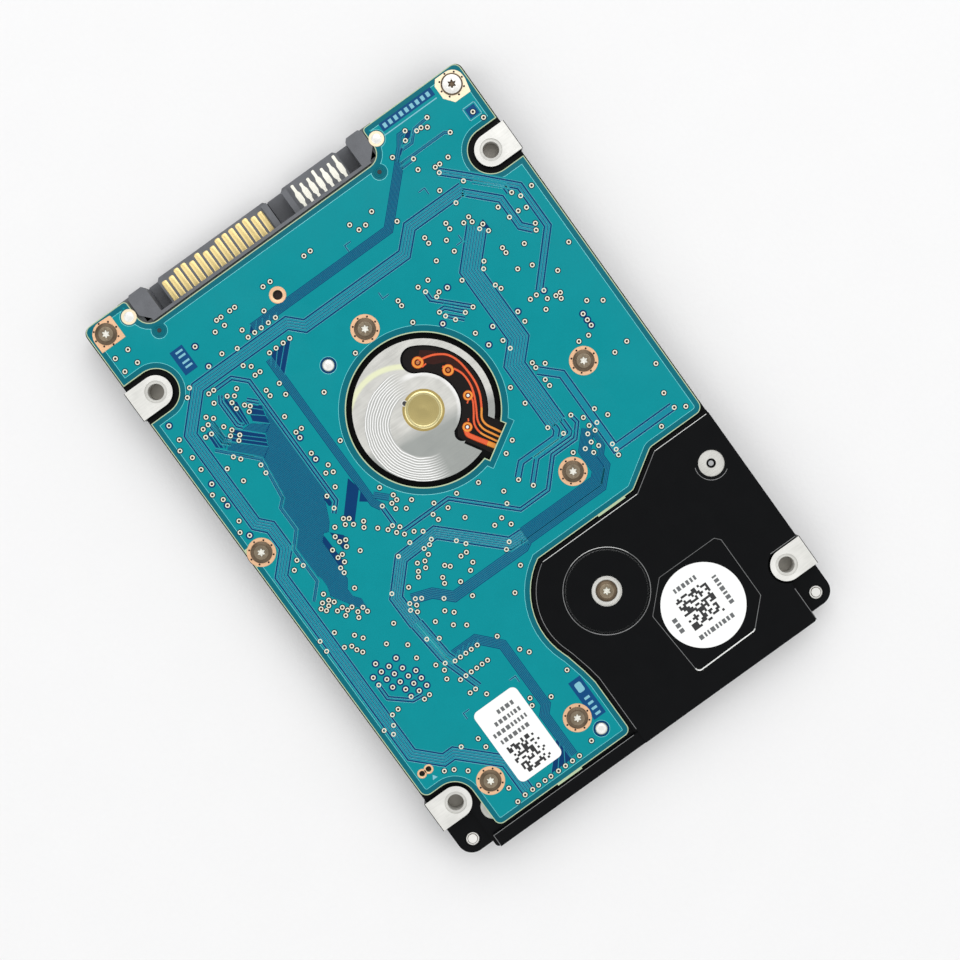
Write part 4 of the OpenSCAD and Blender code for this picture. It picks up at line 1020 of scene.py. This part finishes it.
def make_casting_edges():
    edges = Shape()
    lip = [(-0.05, 0.0), (0, 0.02), (0.05, -0.004)]
    # Groove round the pivot screw: two sloping sides with a painted sheen, and a lip painted as a highlight on its
    # upper side
    top, foot = FIELD + 0.004, FIELD - 0.09
    for inner, outer, z_inner, z_outer in ((6.19, 6.32, top, foot), (6.58, 6.71, foot, top)):
        edges.dome(PIVOT, [(inner, z_inner), (outer, z_outer)], ["coat_rim_sheen"], 96)
    edges.ridge(arc(PIVOT, 6.67, 25, 110, 4), FIELD + 0.002, lip, "coat_rim_glare")
    edges.dome(PIVOT, [(2.2, FIELD - 0.06), (2.32, FIELD + 0.006)], ["tin"], 64)
    edges.turned(PIVOT, [(2.2, 6.31), (1.7, 6.31)], ["tin"], 64)
    edges.dome(LATCH, [(2.0, FIELD - 0.11), (2.08, FIELD + 0.006)], ["coat_rim_sheen"], 64)
    edges.dome(LATCH, [(0.78, FIELD - 0.117), (0.72, FIELD - 0.2)], ["tin"], 40)
    # Recess for the round label; its front edge is painted as a bright highlight, the other edges with a paler
    # painted sheen
    recess = outline((14.05, -30.75, 0.4), (24.3, -30.75, 0.4), (25.05, -31.6, 0.4), (25.05, -42, 0.5),
                     (21.15, -45.9, 0.8), (10.5, -46.05, 0.8), (9.8, -35, 0.4))[::-1]
    for a, b in zip(recess[-1:] + recess, recess):
        front = a[1] < -45 and b[1] < -45
        slope = [(-0.16 if front else -0.09, -0.08), (0.02, 0.004)]
        edges.ridge([a, b], FIELD, slope, "coat_rim_glare" if front else "coat_rim_sheen")
    around_pivot = arc(PIVOT, 10.7, 121, 200, 4)
    # Lines along the casting's edges: painted highlights on those facing +Y, a painted sheen on the rest
    for line, finish in (
        (arc(PIVOT, 6.66, 0, 360, 4), "coat_rim_sheen"),
        (arc(LATCH, 2.55, 160, 305, 8), "coat_rim_sheen"),
        ([(34.2, -14.8), (24.6, -14.8)], "coat_rim_glare"),
        ([(24.55, -14.8), (18.8, -18.53)], "coat_rim_sheen"),
        ([(18.75, -18.53), (1.2, -18.53)], "coat_rim_glare"),
        (around_pivot + [(-3.25, -32.6), (-2.5, -35.8), (-2.15, -38), (-2.15, -47.5)], "coat_rim_sheen"),
        ([(29.8, -37.75), (34.4, -37.75)], "coat_rim_sheen"),
        ([(29.78, -44.2), (29.78, -50)], "coat_rim_sheen"),
    ):
        edges.ridge(line, FIELD, lip, finish)
    edges.ridge([(-29.2, -50), (-29.2, -48.1), (-3, -48.1)], 6.6, lip, "coat_rim_sheen")
    edges.done("casting_edges", slot="base_casting", weld=False)


# ---- screws, pins and posts ----


def torx_screw(shape, centre, base, head_r, head_h, shank_r, shank_l, way=1, face="screw"):
    """Round-headed screw with a six-lobed recess, standing on a plane at the base height."""
    top = base + way * head_h
    floor = top - way * 0.7 * head_h
    socket = head_r * 0.29
    profile = [(0, floor), (socket * 0.7, floor), (socket, top - way * 0.04), (socket * 1.12, top),
               (head_r * 0.66, top), (head_r * 0.86, top - way * 0.22 * head_h),
               (head_r, top - way * 0.62 * head_h), (head_r, base)]
    # The recess is painted: a bright glint in plain heads, and dark shade in the bright tin head
    inside, rim = ("socket_glint", "screw_dark") if face == "screw" else ("screw_dark", face)
    finishes = [inside, inside, "screw_dark", face, rim, "screw_dark"]
    shape.turned(centre, profile, finishes, 60, lobes=((1, 2, 3), 0.24), axis_down=way < 0)
    end = base - way * shank_l
    shape.turned(centre, [(shank_r, base), (shank_r, end), (0, end)], ["screw_dark"], 24, axis_down=way < 0)


def make_fasteners():
    screws = Shape()
    for spot in SCREWS:
        # Painted glare: the top right screw's head is painted bright tin
        face = "tin" if spot == SCREWS[1] else "screw"
        torx_screw(screws, spot, TRACE_TOP + 0.02, 1.65, 0.31, 0.7, 2.0, face=face)
    screws.done("board_screw_set", replaces=["board_screws"])

    pivots = Shape()
    seat = 6.3
    torx_screw(pivots, PIVOT, seat, 1.65, high("pivot_screws").z - seat, 0.8, 2.7)
    torx_screw(pivots, PIVOT, 0.3, 1.6, 0.28, 0.8, 2.0, way=-1)
    pivots.done("pivot_screw_set", replaces=["pivot_screws"])

    # The tips of the two rear cover screws come out beside the board, in turned rims
    lid = Shape()
    tip = high("cover_screws").z
    for x, y in ((32.25, -46.9), (31.6, 43.4), (32.2, -35.3)):
        rear = y < -46
        end = tip if rear else tip - 0.3
        for spot in ((-x, y), (x, y)):
            torx_screw(lid, spot, 0.4, 1.6, 0.33, 0.98, 4.0, way=-1)
            shank = [(0, end - 0.02), (0.7, end - 0.02), (0.8, end - 0.12), (0.98, end - 0.12), (0.98, 4.0)]
            lid.turned(spot, shank, ["tin", "screw_dark", "tin"], 40)
            if rear:
                rim = [(0.98, tip - 0.05), (1.02, tip + 0.05), (1.14, tip + 0.05), (1.22, tip)]
                lid.turned(spot, rim, ["tin"], 40)
    lid.done("cover_screw_set", replaces=["cover_screws"])

    pin = [(0, 6.85), (0.35, 6.84), (0.62, 6.79), (0.82, 6.7), (0.9, 6.58), (0.9, 4.5)]
    post = [(0, 6.76), (0.3, 6.755), (0.55, 6.72), (0.74, 6.66), (0.82, 6.6), (0.55, 6.58), (0.55, 4.4)]
    for name, node, spots, dome, count in (("locating_pin_pair", "locating_pins", PINS, pin, 40),
                                           ("connector_post_pair", "connector_posts", POSTS, post, 36)):
        pair = Shape()
        for spot in spots:
            pair.turned(spot, dome, ["tin"], count)
        pair.done(name, replaces=[node])


# ---- serial connector ----


def make_contacts():
    """Contact strips on the two tongues, and their tails on the board."""
    pitch, root = 1.27, 45.46

    def row(name, node, first_x, count, pad, finish, slope):
        shape = Shape()
        for i in range(count):
            x = first_x + pitch * i
            shape.plate([pad(i, x)], 3.8, 3.88, finish, slope=slope)
            shape.plate([box_outline(x - 0.2, 41.2, x + 0.2, 42.4)], 5.65, 5.79, "tin", floor=True)
        shape.done(name, replaces=[node])

    def power_pad(i, x):
        tip = 49.2 if i in (0, 1, 4, 6, 7, 13, 14) else 49.7
        return outline((x - 0.44, root), (x + 0.44, root), (x + 0.44, tip, 0.3), (x - 0.44, tip, 0.3))

    def signal_pad(i, x):
        tip = 49.6 if i in (0, 3, 6) else 49.1
        side = [(0.25, root), (0.25, 46.3), (0.46, 46.75), (0.46, 47.9), (0.25, 48.4), (0.25, tip - 0.12),
                (0.13, tip)]
        return [(x + w, y) for w, y in side] + [(x - w, y) for w, y in side[::-1]]

    row("power_contact_row", "sata_power_contacts", -20.46, 15, power_pad, "gold", 0.16)
    row("signal_contact_row", "sata_signal_contacts", 3.61, 7, signal_pad, "gold_pale", 0.02)
    webs = Shape()
    for x0, x1 in ((-23.1, -21.3), (-0.95, 1.65), (11.95, 13.95)):
        webs.plate([box_outline(x0, 45.2, x1, 50.0)], 0.7, 1.1, "connector", floor=True)
    webs.done("connector_webs", slot="sata_housing")


# ---- spindle motor ----


def ribbon(shape, line, z, width, height, finish):
    """Flat track with rounded shoulders."""
    half = width / 2
    section = [(-half, 0), (-half * 0.75, height), (half * 0.75, height), (half, 0)]
    shape.ridge(line, z, section, finish)


def smooth_line(points, steps=8):
    """Points along a smooth curve through the given ones."""
    out = []
    for i in range(len(points) - 1):
        p0 = points[max(0, i - 1)]
        p1, p2 = points[i], points[i + 1]
        p3 = points[min(len(points) - 1, i + 2)]
        for k in range(steps):
            t = k / steps
            out.append(tuple(
                b + 0.5 * t * (c - a + t * (2 * a - 5 * b + 4 * c - d + t * (3 * b - a - 3 * c + d)))
                for a, b, c, d in zip(p0, p1, p2, p3)))
    return out + [points[-1]]


def make_motor():
    floor = high("motor_flex_circuit").z
    film = Shape()
    corner = [(2.3, 4.9), (1.85, 4.3), (2.2, 3.3), (3.6, 1.0), (5.9, -3.4), (10.4, -0.8), (8.1, 3.1)]
    slot = outline(arc(SPINDLE, 9.6, -42, 62, 4), arc(polar(SPINDLE, 7.675, 64), 1.9, 62, 240, 20),
                   arc(SPINDLE, 5.8, 60, -64, 4), corner)
    film.fill([slot], floor, "flex_black")
    glow = arc(SPINDLE, 9.0, -18, 58, 5) + arc(SPINDLE, 7.0, 62, 42, 5) + arc(SPINDLE, 7.9, 30, -18, 5)
    film.fill([glow], floor + 0.01, "flex_brown")
    tracks = [
        ([(3.5, 17.0), (4.8, 16.8), (6.25, 16.3), (7.7, 15.25), (8.5, 13.7), (8.8, 11.7), (8.76, 9.4),
          (8.25, 7.5), (7.3, 5.75), (6.4, 4.4), (6.4, 3.2), (7.07, 1.9), (7.6, 0.9)], 0.36),
        ([(7.35, 12.95), (7.95, 11.55), (8.0, 9.85), (7.6, 8.2), (6.75, 6.4), (5.7, 4.5), (5.65, 3.0),
          (6.45, 1.4), (6.95, 0.5)], 0.34),
        ([(6.9, 8.1), (6.8, 7.3), (6.1, 6.1), (5.0, 4.4), (4.95, 2.8), (5.85, 0.95), (6.35, 0.1)], 0.34),
        ([(3.5, 4.5), (3.25, 3.65), (3.8, 2.6), (5.2, 0.4), (5.6, -0.25)], 0.8),
    ]
    for line, width in tracks:
        path = smooth_line(line)
        split = len(path) * 2 // 3
        ribbon(film, path[:split + 1], floor + 0.01, width, 0.1, "flex_track")
        ribbon(film, path[split:], floor + 0.01, width, 0.1, "flex_bright")
    # Soldered ends of the windings: place, radius, middle
    for spot, radius, core in (((3.45, 16.85), 0.95, "flex_film"), ((6.5, 13.25), 0.92, "flex_film"),
                               ((6.7, 8.4), 0.8, "tin"), ((3.85, 4.6), 0.8, "tin")):
        ring = [(radius, floor), (radius * 0.9, floor + 0.12), (radius * 0.55, floor + 0.12),
                (radius * 0.45, floor + 0.03)]
        film.dome(spot, ring, ["flex_track", "flex_bright", "flex_track"], 32)
        blob = [(radius * 0.46, floor + 0.02), (radius * 0.3, floor + 0.16), (0, floor + 0.2)]
        film.dome(spot, blob, ["flex_brown", core], 24)
    for tail in ([(3.3, 16.2), (3.7, 15.9), (4.4, 16.0)], [(6.0, 14.0), (6.3, 14.2)],
                 [(6.3, 7.8), (5.9, 7.5)], [(4.5, 5.2), (4.7, 5.6)]):
        ribbon(film, tail, floor + 0.01, 0.25, 0.08, "flex_track")
    film.done("motor_flex_tracks", replaces=["motor_flex_circuit"])

    cap = Shape()
    top = high("sleeve_end_cap").z
    profile = [(0, top - 0.05), (0.55, top - 0.05), (0.6, top - 0.06), (2.35, top - 0.04), (2.5, top),
               (2.72, top), (2.85, top - 0.08), (2.85, top - 0.45)]
    cap.turned(SPINDLE, profile, ["brass_cap", "brass_cap", "brass_cap", "brass_rim"], 72)
    cap.done("spindle_cap", replaces=["sleeve_end_cap"])

    # Small hole beside the cap: a tin rim round a dark centre, which is painted shade standing in for the hole
    dimple = Shape()
    profile = [(0.46, 0.012), (0.36, 0.02), (0.28, 0.004), (0, 0.002)]
    profile = [(r, MOTOR_FACE + h) for r, h in profile]
    dimple.dome((-1.75, 13.0), profile, ["tin", "moulding"], 28)
    dimple.done("motor_dimple", slot="base_casting")


# ---- labels ----


def cells(shape, corner, count, size, z, seed, down=False):
    """Square field of random cells: decoration only, it holds no code."""
    chance = random.Random(seed)
    for i in range(count):
        for j in range(count):
            if chance.random() < 0.5:
                shape.block(corner[0] + i * size, corner[1] + j * size, size, size, z, "ink", down)


def bars(shape, x, y, length, height, z, seed, finish="ink_grey", upright=False, gap=0.26, down=False):
    """Row of plain blocks that stands for a line of print."""
    chance = random.Random(seed)
    at = 0.0
    while at < length - 0.3:
        run = min(length - at, 0.28 + chance.random() * 0.42)
        if upright:
            shape.block(x, y + at, height, run, z, finish, down)
        else:
            shape.block(x + at, y, run, height, z, finish, down)
        at += run + gap


def make_labels():
    """White labels with plain bars and cells; the print lies a hair above the paper."""
    tag = Shape()
    z = 6.68
    tag.plate([box_outline(-21.15, -44.15, -13.25, -31.15, 0.95)], BAND_TOP, z, "paper", slope=0.02)
    for k, length in enumerate((3.4, 4.8, 6.0, 5.6)):
        bars(tag, -14.35 - length, -33.45 - 1.38 * k, length, 0.7, z + 0.004, 11 + k)
    cells(tag, (-19.85, -43.35), 14, 0.36, z + 0.004, 5)
    tag.done("board_tag", replaces=["board_label"])

    seal = Shape()
    z = high("seal_label").z
    x, y = place("seal_label")
    seal.plate([circle((x, y), 6.55, 96)], low("seal_label").z, z, "paper", slope=0.02)
    cells(seal, (x - 3.3, y - 2.5), 15, 0.37, z + 0.004, 9)
    rows = ((-2.5, 3.85, 4.0), (-3.4, -4.2, 6.3), (-5.3, -1.6, 3.0), (3.4, -2.3, 5.6))
    for k, (dx, dy, length) in enumerate(rows):
        bars(seal, x + dx, y + dy, length, 0.75, z + 0.004, 21 + k, upright=k > 1)
    seal.done("seal_disc", replaces=["seal_label"])

    sheet = Shape()
    z = low("cover_label").z - 0.006
    sheet.fill([box_outline(-26.3, 33.5, 26.3, 42, 1.2)], z, "band_ink", down=True)
    sheet.block(-26.3, -21.8, 52.6, 0.5, z, "band_ink", down=True)
    for k in range(8):
        bars(sheet, -25.5, 29.6 - 2.5 * k, 22 - 3 * (k % 3), 0.95, z, 31 + k, down=True)
    for k, (y, length) in enumerate(((1.5, 34), (-8, 27), (-17.5, 40))):
        bars(sheet, -25.5, y, length, 5.2, z, 51 + k, "ink", gap=0.34, down=True)
    cells(sheet, (9.5, 14), 20, 0.72, z, 61, down=True)
    bars(sheet, -19.5, -29, 12, 0.95, z, 71, down=True)
    bars(sheet, -19.5, -31.5, 9, 0.95, z, 72, down=True)
    sheet.done("cover_print", slot="cover_label")


# ---- carried-over CAD nodes ----

FINISHES = {
    "casting": "base_casting",
    "cover_metal": "top_cover",
    "rubber": "cover_gasket crash_stops",
    "paper": "cover_label",
    "filter": "breather_filter recirculation_filter",
    "chip": "controller_chip memory_chip motor_driver_chip flash_chip preamp_chip",
    "ferrite": "power_inductors",
    "ceramic": "chip_capacitors shock_sensors",
    "polyimide": "insulator_sheet",
    "connector": "sata_housing",
    "bronze": "bearing_sleeve",
    "laminations": "stator_core",
    "stator_wire": "stator_coils",
    "shaft_metal": "spindle_shaft",
    "hub_metal": "spindle_hub",
    "magnet_ring": "rotor_magnet",
    "disk_metal": "platter",
    "clamp_metal": "platter_clamp",
    "steel": "clamp_screw small_screws yoke_screws",
    "pivot_metal": "pivot_shaft pivot_inner_rings pivot_sleeve",
    "steel_fine": "pivot_balls head_suspensions latch_pin",
    "arm_metal": "actuator_arm",
    "coil_wire": "voice_coil",
    "moulding": "coil_overmold flex_header",
    "slider": "head_sliders",
    "bracket": "flex_bracket",
    "nickel": "upper_yoke lower_yoke upper_magnet lower_magnet",
    "ramp": "load_ramp",
    "latch": "actuator_latch",
    "pouch": "desiccant_pouch",
}
EDGES = {"base_casting": 0.12, "sata_housing": 0.08, "top_cover": 0.06}


def dress_nodes():
    """Finishes, joined corners and softened edges for the nodes that keep their CAD shape."""
    for name, finish in [(name, finish) for finish, names in FINISHES.items() for name in names.split()]:
        obj = nodes[name]
        if not obj.material_slots:
            obj.data.materials.append(None)
        for slot in obj.material_slots:
            slot.material = material(finish)
        weld = obj.modifiers.new("weld", "WELD")
        weld.merge_threshold = 1e-6
        if name in EDGES:
            flat = obj.modifiers.new("flat", "DECIMATE")
            flat.decimate_type = "DISSOLVE"
            flat.angle_limit = math.radians(0.5)
            soften(obj, EDGES[name])


def make_head_flex():
    """The bent film between the arm's hub and its bracket, as one strip on edge."""
    node = "head_flex_circuit"
    z0, z1 = low(node).z, high(node).z
    half = 0.05
    line = [(0.96, -27.8 - 0.7 * k) for k in range(14)]
    line += arc((-3, -37), 3.96, 0, -90, 6)
    line += [(-3 - 0.6 * k, -40.96) for k in range(1, 12)]
    strip = Shape()
    left, right = shifted(line, half, False), shifted(line, -half, False)
    for i in range(len(line) - 1):
        for a, b in ((left[i], left[i + 1]), (right[i + 1], right[i])):
            strip.face([(*a, z0), (*a, z1), (*b, z1), (*b, z0)], "flex_film")
        strip.face([(*left[i], z1), (*right[i], z1), (*right[i + 1], z1), (*left[i + 1], z1)], "flex_film")
        strip.face([(*left[i], z0), (*left[i + 1], z0), (*right[i + 1], z0), (*right[i], z0)], "flex_film")
    obj = strip.done("head_flex_strip", replaces=[node], body=None)
    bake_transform(obj)


make_stage()
dress_nodes()
make_board()
make_casting_edges()
make_fasteners()
make_contacts()
make_motor()
make_labels()
make_head_flex()
